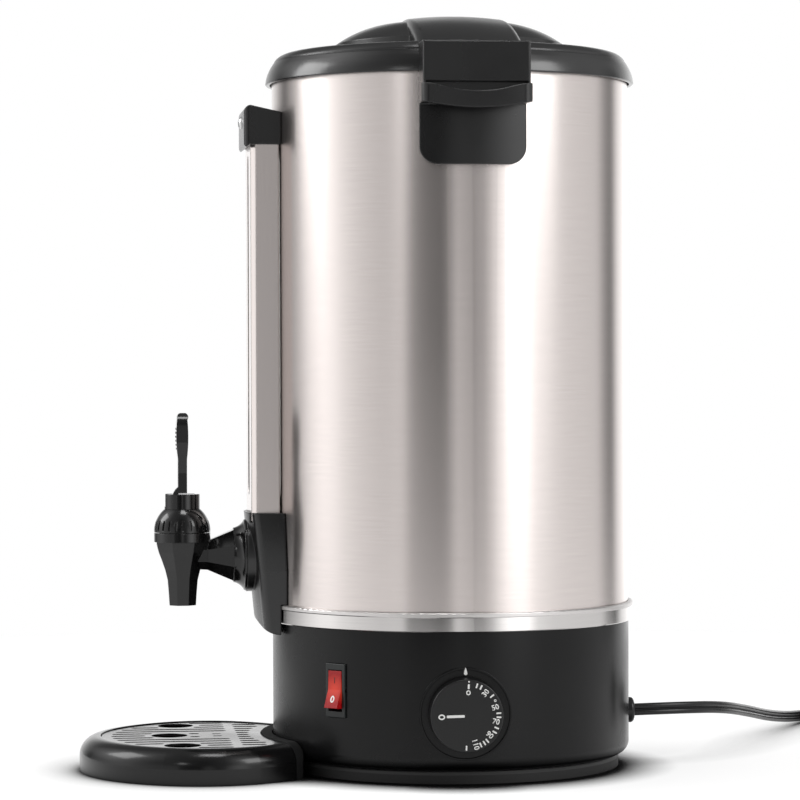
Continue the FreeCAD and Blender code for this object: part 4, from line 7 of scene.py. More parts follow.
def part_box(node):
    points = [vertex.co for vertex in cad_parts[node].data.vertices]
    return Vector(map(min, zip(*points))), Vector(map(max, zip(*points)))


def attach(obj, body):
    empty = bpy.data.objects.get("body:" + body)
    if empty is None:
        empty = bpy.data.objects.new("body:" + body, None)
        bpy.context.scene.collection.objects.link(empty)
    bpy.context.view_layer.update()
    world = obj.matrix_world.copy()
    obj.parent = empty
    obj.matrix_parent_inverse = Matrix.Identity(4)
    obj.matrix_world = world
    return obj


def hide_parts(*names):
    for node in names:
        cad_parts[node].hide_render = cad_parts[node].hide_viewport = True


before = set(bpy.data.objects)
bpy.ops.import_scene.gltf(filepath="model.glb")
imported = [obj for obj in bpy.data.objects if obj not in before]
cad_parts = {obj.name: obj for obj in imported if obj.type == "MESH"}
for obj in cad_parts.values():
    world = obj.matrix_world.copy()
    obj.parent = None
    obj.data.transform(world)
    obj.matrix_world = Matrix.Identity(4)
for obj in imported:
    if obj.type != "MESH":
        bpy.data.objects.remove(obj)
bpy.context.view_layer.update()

# Camera. A long lens stands two metres off, nearly level with the middle of the urn and turned a
# little towards the tap. The picture is 800 by 800 points, and its focal length, the urn's axis and
# the horizon are given in them.
PICTURE = 800
SENSOR_WIDTH = 36.0
FOCAL_POINTS = 3310.0
CAMERA_DISTANCE = 2.0
CAMERA_HEIGHT = 0.246
CAMERA_TURN = math.radians(-7.1)
CAMERA_ROLL = math.radians(0.17)
AXIS_POINT = 449.8
HORIZON_POINT = 358.0
FARTHEST_SEEN = 50.0

camera_data = bpy.data.cameras.new("camera")
camera_data.sensor_width = SENSOR_WIDTH
camera_data.lens = FOCAL_POINTS / PICTURE * SENSOR_WIDTH
camera_data.clip_end = FARTHEST_SEEN
camera = bpy.data.objects.new("camera", camera_data)
bpy.context.scene.collection.objects.link(camera)
camera.location = (CAMERA_DISTANCE * math.cos(CAMERA_TURN), CAMERA_DISTANCE * math.sin(CAMERA_TURN),
                   CAMERA_HEIGHT)
look_down = math.atan((PICTURE / 2 - HORIZON_POINT) / FOCAL_POINTS)
look_aside = math.atan((AXIS_POINT - PICTURE / 2) / FOCAL_POINTS)
camera.rotation_euler = (math.pi / 2 - look_down, CAMERA_ROLL, math.pi / 2 + CAMERA_TURN + look_aside)
bpy.context.scene.camera = camera
bpy.context.scene.view_settings.view_transform = "Standard"

# Room. Steel is lit with tall white cards and dark gaps between them, all round the table, with
# other cards higher up at the sides and a ceiling above. Each card is an angle from the camera's
# side towards its right, and a level of light. The camera and the glass see plain white instead.
CARDS = ((-180, 1.45), (-150, 0.8), (-133, 0.1), (-123, 0.45), (-112, 0.75), (-100, 1.15),
         (-90, 1.4), (-80, 1.4), (-72, 1.15), (-60, 0.95), (-44, 0.8), (-30, 0.85), (-26, 0.25),
         (-14, 0.15), (-5, 0.05), (0, 0.2), (4, 0.9), (10, 0.6), (14, 0.2), (20, 0.35), (26, 0.7),
         (33, 1.6), (40, 2.1), (48, 2.1), (56, 1.15), (68, 0.95), (110, 0.85), (118, 0.4),
         (128, 0.15), (138, 1.1), (155, 1.6), (180, 1.45))
HIGH_CARDS = ((-180, 0.14), (-145, 0.25), (-120, 1.2), (-101, 2.4), (-82, 1.5), (-58, 0.6),
              (0, 0.15), (30, 0.5), (48, 1.8), (62, 2.4), (82, 1.1), (110, 0.8), (145, 0.25),
              (180, 0.14))
BRIGHTEST = 2.4
CEILING_LEVEL = 0.4
GROUND_LEVEL = 0.5
# One light goes over to the next between two heights: 0 is the horizon and 1 is straight up.
HIGH_CARDS_FROM = (0.14, 0.42)
CEILING_FROM = (0.7, 0.95)
GROUND_FROM = (-0.35, -0.7)

world = bpy.data.worlds.new("studio")
bpy.context.scene.world = world
world.use_nodes = True
room = world.node_tree
room.nodes.clear()


def maths(tree, operation, first, second=None):
    """A Math node between sockets or numbers, and its result."""
    node = tree.nodes.new("ShaderNodeMath")
    node.operation = operation
    for socket, value in zip(node.inputs, (first, second)):
        if value is None:
            continue
        if isinstance(value, (int, float)):
            socket.default_value = value
        else:
            tree.links.new(value, socket)
    return node.outputs[0]


def between(tree, value, low, high, start=0.0, end=1.0):
    """A value remapped from one range to another."""
    node = tree.nodes.new("ShaderNodeMapRange")
    node.inputs["From Min"].default_value = start
    node.inputs["From Max"].default_value = end
    node.inputs["To Min"].default_value = low
    node.inputs["To Max"].default_value = high
    tree.links.new(value, node.inputs["Value"])
    return node.outputs[0]


way = room.nodes.new("ShaderNodeTexCoord")
split = room.nodes.new("ShaderNodeSeparateXYZ")
room.links.new(way.outputs["Generated"], split.inputs[0])
turn = maths(room, "ARCTAN2", split.outputs["Y"], split.outputs["X"])
turn = maths(room, "SUBTRACT", turn, CAMERA_TURN - math.pi)
turn = maths(room, "FRACT", maths(room, "DIVIDE", turn, 2 * math.pi))


def grey(level):
    """A level of light as a colour, which is a share of the brightest card."""
    return (level / BRIGHTEST,) * 3 + (1,)


def ring_of_cards(stops):
    """The light of a ring of cards by the angle round the room."""
    ring = room.nodes.new("ShaderNodeValToRGB")
    for number, (angle, level) in enumerate(stops):
        place = (angle + 180) / 360
        if number < 2:
            stop = ring.color_ramp.elements[number]
            stop.position = place
        else:
            stop = ring.color_ramp.elements.new(place)
        stop.color = grey(level)
    room.links.new(turn, ring.inputs[0])
    return ring.outputs[0]


def goes_over_to(light, other, heights):
    """Light that goes over to another light, or to one even level, between two heights."""
    change = room.nodes.new("ShaderNodeMix")
    change.data_type = "RGBA"
    room.links.new(between(room, split.outputs["Z"], 0, 1, *heights), change.inputs["Factor"])
    room.links.new(light, change.inputs["A"])
    if isinstance(other, float):
        change.inputs["B"].default_value = grey(other)
    else:
        room.links.new(other, change.inputs["B"])
    return change.outputs["Result"]


def seen_by(tree, *rays):
    """1 for rays of these kinds, and 0 for the others."""
    kinds = tree.nodes.new("ShaderNodeLightPath").outputs
    seen = kinds[rays[0]]
    for ray in rays[1:]:
        seen = maths(tree, "MAXIMUM", seen, kinds[ray])
    return seen


light = goes_over_to(ring_of_cards(CARDS), ring_of_cards(HIGH_CARDS), HIGH_CARDS_FROM)
light = goes_over_to(light, CEILING_LEVEL, CEILING_FROM)
light = goes_over_to(light, GROUND_LEVEL, GROUND_FROM)
lit = room.nodes.new("ShaderNodeBackground")
lit.inputs["Strength"].default_value = BRIGHTEST
room.links.new(light, lit.inputs["Color"])
white = room.nodes.new("ShaderNodeBackground")
white.inputs["Color"].default_value = (1, 1, 1, 1)
choose = room.nodes.new("ShaderNodeMixShader")
room.links.new(seen_by(room, "Is Camera Ray", "Is Transmission Ray"), choose.inputs[0])
room.links.new(lit.outputs[0], choose.inputs[1])
room.links.new(white.outputs[0], choose.inputs[2])
out = room.nodes.new("ShaderNodeOutputWorld")
room.links.new(choose.outputs[0], out.inputs[0])

# Soft lamps. A wide sky of cloth fills in from far above and isn't mirrored. Smaller lamps overhead,
# at both sides and in front put the bright lines on edges, on the rim of the lid and on the tap.
# Each has its name, place, size and power, and whether it is mirrored.
LAMPS = (
    ("sky", (0.0, 0.0, 2.6), 2.4, 24.0, False),
    ("overhead", (0.2, -0.05, 1.6), 0.45, 5.0, True),
    ("left", (-0.3, -1.16, 0.85), 0.55, 4.5, True),
    ("right", (0.8, 1.0, 0.95), 0.6, 5.5, True),
    ("front", (1.5, -1.1, 1.0), 0.3, 1.2, True),
)
AIM = Vector((0, 0, 0.25))
for name, place, size, power, mirrored in LAMPS:
    lamp_data = bpy.data.lights.new(name, "AREA")
    lamp_data.shape = "SQUARE"
    lamp_data.size = size
    lamp_data.energy = power
    lamp = bpy.data.objects.new(name, lamp_data)
    bpy.context.scene.collection.objects.link(lamp)
    lamp.location = place
    lamp.rotation_euler = (AIM - Vector(place)).to_track_quat("-Z", "Y").to_euler()
    lamp.visible_glossy = mirrored

# White paper under the urn. It is just white where nothing shades it, and its glow reaches the
# camera, metal and glass. A painted contact shadow darkens its colour and its glow in the last few
# centimetres before whatever stands on it.
PAPER_RADIUS = 1.0
PAPER_SIDES = 96
PAPER_GLOW = 0.6
PAPER_COLOUR = 0.36
# The painted contact shadow: its darkest colour, how far it reaches, and the shares of open sky at which
# it is darkest and at which it ends.
CONTACT_SHADOW_COLOUR = 0.01
CONTACT_REACH = 0.034
CONTACT_DARK = 0.49
CONTACT_OPEN = 0.98


def new_material(name):
    """An empty node material, its tree and its output."""
    material = bpy.data.materials.new(name)
    material.use_nodes = True
    material.node_tree.nodes.clear()
    return material, material.node_tree, material.node_tree.nodes.new("ShaderNodeOutputMaterial")


def tinted(tree, value, dark, light):
    """A colour that runs from dark to light with a value."""
    node = tree.nodes.new("ShaderNodeMix")
    node.data_type = "RGBA"
    node.inputs["A"].default_value = (*dark, 1)
    node.inputs["B"].default_value = (*light, 1)
    tree.links.new(value, node.inputs["Factor"])
    return node.outputs["Result"]


bpy.ops.object.select_all(action="DESELECT")
bpy.ops.mesh.primitive_circle_add(vertices=PAPER_SIDES, radius=PAPER_RADIUS, fill_type="NGON",
                                  location=(0, 0, 0))
floor = bpy.context.object
floor.name = "floor"
paper, tree, output = new_material("paper")
contact = tree.nodes.new("ShaderNodeAmbientOcclusion")
contact.samples = 12
contact.inputs["Distance"].default_value = CONTACT_REACH
# Painted contact shadow: the paper's colour and glow are darkened by how much of the sky nearby things
# hide.
open_sky = between(tree, contact.outputs["AO"], 0, 1, CONTACT_DARK, CONTACT_OPEN)
dull = tree.nodes.new("ShaderNodeBsdfDiffuse")
shade = tinted(tree, open_sky, (CONTACT_SHADOW_COLOUR,) * 3, (PAPER_COLOUR,) * 3)
tree.links.new(shade, dull.inputs["Color"])
glow = tree.nodes.new("ShaderNodeEmission")
shown = seen_by(tree, "Is Camera Ray", "Is Glossy Ray", "Is Transmission Ray")
shown = maths(tree, "MULTIPLY", shown, open_sky)
tree.links.new(maths(tree, "MULTIPLY", shown, PAPER_GLOW), glow.inputs["Strength"])
both = tree.nodes.new("ShaderNodeAddShader")
tree.links.new(dull.outputs[0], both.inputs[0])
tree.links.new(glow.outputs[0], both.inputs[1])
tree.links.new(both.outputs[0], output.inputs[0])
floor.data.materials.append(paper)

# Power lead. A flat lead of two rubber strands side by side leaves the back of the base through a
# grommet and runs down to the table. What the picture doesn't show is wound into a neat coil.
MM = 0.001
LEAD_WIDTH = 7.4
LEAD_THICKNESS = 3.7
LEAD_EXIT = (0, 111.85, 31.7)
COIL_CENTRE = (-212.0, 321.0)
COIL_RADIUS = 43.0
COIL_TURNS = 3.42
COIL_PITCH = 4.9
COIL_START = math.radians(241.0)
COIL_CLIMB = 0.25
COIL_LOW = LEAD_WIDTH / 2 + 0.2
COIL_RISE = LEAD_WIDTH + 0.6
POINTS_PER_TURN = 16
HEADING_STEP = 1e-4
PLUG_HEIGHT = 18.1


def coil_point(turns):
    """A point of the coil: it spirals in on the table, climbs and spirals out again on top."""
    angle = COIL_START - 2 * math.pi * turns
    radius = COIL_RADIUS - COIL_PITCH * min(turns, COIL_TURNS - turns)
    climbed = min(1.0, max(0.0, (turns - COIL_TURNS / 2 + COIL_CLIMB) / (2 * COIL_CLIMB)))
    eased = climbed * climbed * (3 - 2 * climbed)
    return Vector((COIL_CENTRE[0] + radius * math.cos(angle), COIL_CENTRE[1] + radius * math.sin(angle),
                   COIL_LOW + COIL_RISE * eased))


def level_heading(turns):
    """The level direction in which the coil runs on from one of its points."""
    step = coil_point(turns + HEADING_STEP) - coil_point(turns - HEADING_STEP)
    return Vector((step.x, step.y, 0)).normalized()


coil_in = level_heading(0)
coil_start = coil_point(0)
coil_out = level_heading(COIL_TURNS)
coil_end = coil_point(COIL_TURNS)
aside = Vector((-coil_out.y, coil_out.x, 0))
table_end = Vector((coil_end.x, coil_end.y, PLUG_HEIGHT))
lead_route = [
    Vector(LEAD_EXIT),
    Vector((0, 141.85, 32.5)),
    Vector((-26, 173, 29.8)),
    Vector((-76, 200, 21.5)),
    Vector((-132, 226, 12.0)),
    Vector((-184, 255, 5.4)),
    coil_start - coil_in * LEAD_WIDTH,
]
coil_steps = round(COIL_TURNS * POINTS_PER_TURN)
lead_route += [coil_point(COIL_TURNS * step / coil_steps) for step in range(coil_steps + 1)]
lead_route += [
    coil_end + coil_out * LEAD_WIDTH,
    coil_end + coil_out * 30 - aside * 0.6 + Vector((0, 0, 0.8)),
    table_end - Vector((0, 0, 1.2)) + coil_out * 54 - aside * 5,
    table_end + coil_out * 77 - aside * 13,
]

lead_curve = bpy.data.curves.new("lead_line", "CURVE")
lead_curve.dimensions = "3D"
lead_curve.resolution_u = 8
lead_curve.twist_mode = "Z_UP"
spline = lead_curve.splines.new("NURBS")
spline.points.add(len(lead_route) - 1)
for point, place in zip(spline.points, lead_route):
    point.co = (*(place * MM), 1)
spline.order_u = 3
spline.use_endpoint_u = True
lead_line = bpy.data.objects.new("lead_line", lead_curve)
bpy.context.scene.collection.objects.link(lead_line)
bare_line = bpy.data.meshes.new_from_object(lead_line)

# The lead's section: two round strands that are joined where they touch.
STRAND_RADIUS = LEAD_THICKNESS / 2 * MM
STRAND_JOIN = math.radians(24)
STRAND_STEPS = 14
CREASE = math.radians(50)
section_curve = bpy.data.curves.new("lead_section", "CURVE")
section_curve.dimensions = "2D"
outline = section_curve.splines.new("POLY")
section_points = []
for side in (1, -1):
    first = STRAND_JOIN - side * math.pi / 2
    for step in range(STRAND_STEPS + 1):
        angle = first + (2 * math.pi - 2 * STRAND_JOIN) * step / STRAND_STEPS
        section_points.append((STRAND_RADIUS * math.cos(angle),
                               side * STRAND_RADIUS + STRAND_RADIUS * math.sin(angle)))
outline.points.add(len(section_points) - 1)
for point, (across, up) in zip(outline.points, section_points):
    point.co = (across, up, 0, 1)
outline.use_cyclic_u = True
section = bpy.data.objects.new("lead_section", section_curve)
bpy.context.scene.collection.objects.link(section)
lead_curve.bevel_mode = "OBJECT"
lead_curve.bevel_object = section
lead_curve.use_fill_caps = True
bpy.ops.object.select_all(action="DESELECT")
lead_line.select_set(True)
bpy.context.view_layer.objects.active = lead_line
bpy.ops.object.convert(target="MESH")
power_lead = bpy.context.object
power_lead.name = "power_lead"
bpy.data.objects.remove(section)
bpy.ops.object.shade_smooth_by_angle(angle=CREASE)

# The lead's rubber, and all moulded plastic: how large and strong the patches and the grain are.
PATCH_SCALE = 24.0
PATCH_RANGE = (0.3, 0.7)
PATCH_SPREAD = 0.04
PATCH_DARK, PATCH_LIGHT = 0.8, 1.3
PATCH_DUST = 0.001
GRAIN_STRENGTH = 0.5
LEAD_BLACK = (0.006, 0.006, 0.0065)
PLUG_BLACK = (0.007, 0.007, 0.0075)


def new_finish(name):
    """A piece's material, its tree, its one shader and the place on the piece."""
    material, tree, output = new_material(name)
    shader = tree.nodes.new("ShaderNodeBsdfPrincipled")
    tree.links.new(shader.outputs[0], output.inputs[0])
    return material, tree, shader, tree.nodes.new("ShaderNodeTexCoord").outputs["Object"]


def noise(tree, vector, scale, detail=2.0, rough=0.5):
    """Soft noise through a piece, from 0 to 1."""
    node = tree.nodes.new("ShaderNodeTexNoise")
    node.inputs["Scale"].default_value = scale
    node.inputs["Detail"].default_value = detail
    node.inputs["Roughness"].default_value = rough
    tree.links.new(vector, node.inputs["Vector"])
    return node.outputs["Fac"]


def bumped(tree, shader, height, strength, distance, edge=0.0):
    """Fine relief on a shader, over edges that are rounded to a radius where one is given."""
    node = tree.nodes.new("ShaderNodeBump")
    node.inputs["Strength"].default_value = strength
    node.inputs["Distance"].default_value = distance
    tree.links.new(height, node.inputs["Height"])
    if edge:
        rounded = tree.nodes.new("ShaderNodeBevel")
        rounded.samples = 4
        rounded.inputs["Radius"].default_value = edge
        tree.links.new(rounded.outputs[0], node.inputs["Normal"])
    tree.links.new(node.outputs[0], shader.inputs["Normal"])


def moulded(name, colour, rough, grain, depth, shine=0.35, edge=0.0):
    """Moulded plastic: spark-eroded grain, and patches that handling has polished a little."""
    material, tree, shader, where = new_finish(name)
    patches = noise(tree, where, PATCH_SCALE, detail=3.0)
    dark = tuple(part * PATCH_DARK for part in colour)
    light = tuple(part * PATCH_LIGHT + PATCH_DUST for part in colour)
    tree.links.new(tinted(tree, patches, dark, light), shader.inputs["Base Color"])
    handled = between(tree, patches, rough - PATCH_SPREAD, rough + PATCH_SPREAD, *PATCH_RANGE)
    tree.links.new(handled, shader.inputs["Roughness"])
    shader.inputs["Specular IOR Level"].default_value = shine
    height = noise(tree, where, 1.0 / grain, detail=2.0, rough=0.6)
    bumped(tree, shader, height, GRAIN_STRENGTH, depth, edge)
    return material


def dress(material, *names):
    """Gives construction pieces their finish."""
    for name in names:
        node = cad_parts[name]
        node.data.materials.clear()
        node.data.materials.append(material)


lead_rubber = moulded("lead_rubber", LEAD_BLACK, rough=0.26, grain=0.0009, depth=0.00001)
power_lead.data.materials.append(lead_rubber)
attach(power_lead, "urn")
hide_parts("power_cord", "cord_coil", "cord_tail")
dress(lead_rubber, "cord_grommet", "leads")
dress(moulded("plug_plastic", PLUG_BLACK, rough=0.36, grain=0.0008, depth=0.00002, edge=0.0004), "plug")

# Vessel. It is rolled from sheet steel and brushed right round, so that each line of the brushing
# runs level round it and lights smear up and down.
STEEL_COLOUR = (0.66, 0.605, 0.585)
UPRIGHT = (0, 0, 1)
BRUSH_DARK, BRUSH_LIGHT = 0.93, 1.05
BRUSH_STRENGTH = 0.1
CLOUD_SCALE = 6.0
CLOUD_SPREAD = 0.0375


def brushed(name, colour, rough, lines, along=None, smear=0.0, relief=0.00001, edge=0.0):
    """Brushed metal: fine lines, their number in a metre each way, and lights smeared along a way."""
    material, tree, shader, where = new_finish(name)
    shader.inputs["Metallic"].default_value = 1.0
    shader.inputs["Anisotropic"].default_value = smear
    drawn_out = tree.nodes.new("ShaderNodeMapping")
    drawn_out.inputs["Scale"].default_value = lines
    tree.links.new(where, drawn_out.inputs["Vector"])
    brush = noise(tree, drawn_out.outputs[0], 1.0, detail=3.0, rough=0.7)
    dark = tuple(part * BRUSH_DARK for part in colour)
    light = tuple(min(1.0, part * BRUSH_LIGHT) for part in colour)
    tree.links.new(tinted(tree, brush, dark, light), shader.inputs["Base Color"])
    clouds = noise(tree, where, CLOUD_SCALE, detail=1.0)
    uneven = between(tree, clouds, rough - CLOUD_SPREAD, rough + CLOUD_SPREAD)
    tree.links.new(uneven, shader.inputs["Roughness"])
    if along:
        direction = tree.nodes.new("ShaderNodeCombineXYZ")
        for socket, value in zip(direction.inputs, along):
            socket.default_value = value
        tree.links.new(direction.outputs[0], shader.inputs["Tangent"])
    bumped(tree, shader, brush, BRUSH_STRENGTH, relief, edge)
    return material


vessel_steel = brushed("vessel_steel", STEEL_COLOUR, rough=0.26, lines=(40, 40, 1200), along=UPRIGHT,
                       smear=0.75)
dress(vessel_steel, "vessel")

# Trim band. A chromed hoop closes the joint of vessel and base. The bead along its top is a little
# duller than the flat part below it.
BAND_COLOUR = (0.62, 0.6, 0.59)
BEAD_HEIGHT = 0.0029
BEAD_EDGE = 0.0004
BEAD_ROUGH = 0.34


def dulled(material, roughness):
    """Makes a finish at least as rough as roughness() says by the place on the piece."""
    tree = material.node_tree
    rough = tree.nodes["Principled BSDF"].inputs["Roughness"]
    place = tree.nodes.new("ShaderNodeSeparateXYZ")
    tree.links.new(tree.nodes["Texture Coordinate"].outputs["Object"], place.inputs[0])
    least = roughness(tree, place.outputs)
    tree.links.new(maths(tree, "MAXIMUM", rough.links[0].from_socket, least), rough)


def bead_roughness(tree, place):
    """None up to the bead, and the bead's own from there."""
    bead_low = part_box("trim_band")[1].z - BEAD_HEIGHT
    return between(tree, place["Z"], 0, BEAD_ROUGH, bead_low, bead_low + BEAD_EDGE)


band_chrome = brushed("band_chrome", BAND_COLOUR, rough=0.12, lines=(20, 20, 1500), relief=0.000002)
dulled(band_chrome, bead_roughness)
dress(band_chrome, "trim_band")

# Base. A satin black moulding with the dial's raised ring and the switch's opening, on a rubber
# foot, over a painted pan.
MOULDED_BLACK = (0.003, 0.003, 0.0032)
PAN_GREY = (0.03, 0.03, 0.03)
RUBBER_BLACK = (0.012, 0.012, 0.012)
base_black = moulded("base_black", MOULDED_BLACK, rough=0.25, grain=0.0006, depth=0.000008, shine=0.22,
                     edge=0.0006)
dress(base_black, "base_housing")
dress(moulded("pan_paint", PAN_GREY, rough=0.5, grain=0.001, depth=0.00002), "base_pan")
foot_rubber = moulded("foot_rubber", RUBBER_BLACK, rough=0.6, grain=0.0007, depth=0.00003)
dress(foot_rubber, "foot_ring", "gauge_seals", "tap_gasket", "tap_washer", "seat_cup")

# Dial. The knob is a plain black cap, and its scale is printed in white: a ring and bar for off, a
# small ring at the top, and numbers of degrees between ticks down its right side.
DIAL_TURN = math.radians(-2.6)
TICK_ANGLES = (18, 26, 51.5, 85, 92.3, 112, 120.5, 140.8, 147.4, 154.8, 181.3)
TICK_RADIUS = 18.2
TICK_LENGTH = 2.8
TICK_WIDTH = 0.9
NUMBERS = ((39, "30"), (73.4, "50"), (101.5, "70"), (130.4, "90"), (163.8, "110"))
NUMBER_RADIUS = 16.8
NUMBER_HEIGHT = 3.0
# The other signs: angle and radius on the face, size across and along, and a ring's width of line.
SIGNS = (
    (61.4, 18.3, 1.5, 1.5, 0.42),
    (3.3, 19.7, 0.9, 0.9),
    (3.3, 16.9, 1.1, 2.8),
    (3.3, 13.4, 2.6, 2.8, 0.6),
    (268.3, 14.5, 3.9, 3.2, 0.8),
    (268.8, 6.5, 1.5, 10.3),
)
INK = 0.06 * MM
INK_SUNK = INK / 3
TOUCHING = 0.01 * MM
CORNER_CUT = 0.25
CORNER_STEPS = 2
RING_SIDES = 28
FIGURE_OF_TYPE = 0.7
FIGURE_BOLDER = 0.03

dial_out = Vector((math.cos(DIAL_TURN), math.sin(DIAL_TURN), 0))
dial_right = Vector((-math.sin(DIAL_TURN), math.cos(DIAL_TURN), 0))
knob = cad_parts["thermostat_knob"]
knob_low, knob_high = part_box("thermostat_knob")
knob_face = max(vertex.co.dot(dial_out) for vertex in knob.data.vertices)
knob_places = [vertex.co.dot(dial_right) for vertex in knob.data.vertices]
knob_aside = (min(knob_places) + max(knob_places)) / 2


def facing(middle, right, up, ahead):
    """The place of a flat drawing whose right, up and front are given."""
    turned = Matrix((right, up, ahead)).transposed().to_4x4()
    turned.translation = middle
    return turned


def finish_mark(pieces, name, place, depth):
    """Joins flat drawings, gives them a thickness and puts them in their place."""
    bpy.ops.object.select_all(action="DESELECT")
    for piece in pieces:
        piece.select_set(True)
    bpy.context.view_layer.objects.active = pieces[0]
    if len(pieces) > 1:
        bpy.ops.object.join()
    mark = bpy.context.object
    mark.name = name
    bpy.ops.object.mode_set(mode="EDIT")
    bpy.ops.mesh.select_all(action="SELECT")
    bpy.ops.mesh.remove_doubles(threshold=TOUCHING)
    bpy.ops.mesh.extrude_region_move(TRANSFORM_OT_translate={"value": (0, 0, depth)})
    bpy.ops.mesh.select_all(action="SELECT")
    bpy.ops.mesh.normals_make_consistent(inside=False)
    bpy.ops.object.mode_set(mode="OBJECT")
    mark.matrix_world = place @ mark.matrix_world
    bpy.ops.object.transform_apply(location=True, rotation=True, scale=True)
    return mark


def flat_bar(x, y, across, along, turn=0.0):
    """A flat oblong with its corners taken off, turned clockwise."""
    bpy.ops.object.select_all(action="DESELECT")
    bpy.ops.mesh.primitive_plane_add(size=1, location=(0, 0, 0))
    bar = bpy.context.object
    bar.scale = (across, along, 1)
    bpy.ops.object.transform_apply(location=False, rotation=False, scale=True)
    bpy.ops.object.mode_set(mode="EDIT")
    bpy.ops.mesh.bevel(offset=min(across, along) * CORNER_CUT, segments=CORNER_STEPS, affect="VERTICES")
    bpy.ops.object.mode_set(mode="OBJECT")
    bar.location = (x, y, 0)
    bar.rotation_euler = (0, 0, -turn)
    bpy.ops.object.transform_apply(location=True, rotation=True, scale=True)
    return bar


def flat_ring(x, y, across, along, width):
    """A flat oval ring."""
    bpy.ops.object.select_all(action="DESELECT")
    bpy.ops.mesh.primitive_circle_add(vertices=RING_SIDES, radius=0.5, fill_type="NGON",
                                      location=(0, 0, 0))
    ring = bpy.context.object
    ring.scale = (across, along, 1)
    ring.location = (x, y, 0)
    bpy.ops.object.transform_apply(location=True, rotation=True, scale=True)
    bpy.ops.object.mode_set(mode="EDIT")
    bpy.ops.mesh.select_all(action="SELECT")
    bpy.ops.mesh.inset(thickness=width, depth=0)
    bpy.ops.mesh.delete(type="FACE")
    bpy.ops.object.mode_set(mode="OBJECT")
    return ring


def flat_figures(text, x, y, height, turn):
    """Figures in the plain built-in face, centred on a point and turned clockwise."""
    bpy.ops.object.select_all(action="DESELECT")
    bpy.ops.object.text_add(location=(0, 0, 0))
    figures = bpy.context.object
    figures.data.body = text
    figures.data.align_x = "CENTER"
    figures.data.align_y = "CENTER"
    figures.data.size = height / FIGURE_OF_TYPE
    figures.data.offset = height * FIGURE_BOLDER
    figures.data.resolution_u = 3
    bpy.ops.object.convert(target="MESH")
    figures = bpy.context.object
    figures.location = (x, y, 0)
    figures.rotation_euler = (0, 0, -turn)
    bpy.ops.object.transform_apply(location=True, rotation=True, scale=True)
    return figures


def on_dial(degrees, radius):
    """A point of the knob's face by its angle from the top, clockwise, and its radius."""
    return radius * MM * math.sin(math.radians(degrees)), radius * MM * math.cos(math.radians(degrees))


def dial_sign(degrees, radius, across, along, line=None):
    """A ring on the knob's face, or a bar where no width of line is given."""
    if line:
        return flat_ring(*on_dial(degrees, radius), across * MM, along * MM, line * MM)
    return flat_bar(*on_dial(degrees, radius), across * MM, along * MM, math.radians(degrees))


drawings = [dial_sign(degrees, TICK_RADIUS, TICK_WIDTH, TICK_LENGTH) for degrees in TICK_ANGLES]
drawings += [
    flat_figures(text, *on_dial(degrees, NUMBER_RADIUS), NUMBER_HEIGHT * MM, math.radians(degrees - 90))
    for degrees, text in NUMBERS
]
drawings += [dial_sign(*sign) for sign in SIGNS]
face_middle = dial_out * (knob_face - INK_SUNK) + dial_right * knob_aside
face_middle.z = (knob_low.z + knob_high.z) / 2
dial_marks = finish_mark(drawings, "dial_marks", facing(face_middle, dial_right, UPRIGHT, dial_out), INK)

WHITE = (0.9, 0.9, 0.88)
INK_SPECKLE = 1400.0
INK_THIN = 0.86


def printed(name, colour):
    """Printing ink: flat, a little uneven in its cover."""
    material, tree, shader, where = new_finish(name)
    cover = noise(tree, where, INK_SPECKLE, detail=3.0)
    thin = tuple(part * INK_THIN for part in colour)
    tree.links.new(tinted(tree, cover, thin, colour), shader.inputs["Base Color"])
    shader.inputs["Roughness"].default_value = 0.45
    shader.inputs["Specular IOR Level"].default_value = 0.3
    return material


white_ink = printed("white_ink", WHITE)
dial_marks.data.materials.append(white_ink)
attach(dial_marks, "dial")
KNOB_BLACK = (0.006, 0.006, 0.0062)
knob_black = moulded("knob_black", KNOB_BLACK, rough=0.34, grain=0.0006, depth=0.00001, edge=0.0003)
dress(knob_black, "thermostat_knob")

# The pointer is a white drop in the ring round the knob, above its middle. It stands as high as
# the ring's lip, and its narrow end runs out over the lip.
POINTER_LOW = 22.5 * MM
POINTER_HIGH = 26.7 * MM
POINTER_DEPTH = 1.4 * MM
POINTER_SIDES = 24
ROUND_END = 1.0 * MM
TAPER = 0.55
RING_FACE = 107.6 * MM

shoulder = POINTER_LOW + ROUND_END
stretch = (POINTER_HIGH - shoulder) / ROUND_END
bpy.ops.object.select_all(action="DESELECT")
bpy.ops.mesh.primitive_circle_add(vertices=POINTER_SIDES, radius=ROUND_END, fill_type="NGON",
                                  location=(0, shoulder, 0))
drop = bpy.context.object
bpy.ops.object.transform_apply(location=True, rotation=True, scale=True)
for vertex in drop.data.vertices:
    above = vertex.co.y - shoulder
    if above > 0:
        vertex.co.x *= 1 - TAPER * above / ROUND_END
        vertex.co.y = shoulder + above * stretch
pointer_middle = dial_out * RING_FACE + dial_right * knob_aside
pointer_middle.z = face_middle.z
pointer = finish_mark([drop], "dial_pointer", facing(pointer_middle, dial_right, UPRIGHT, dial_out),
                      POINTER_DEPTH)
pointer.data.materials.append(white_ink)
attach(pointer, "urn")

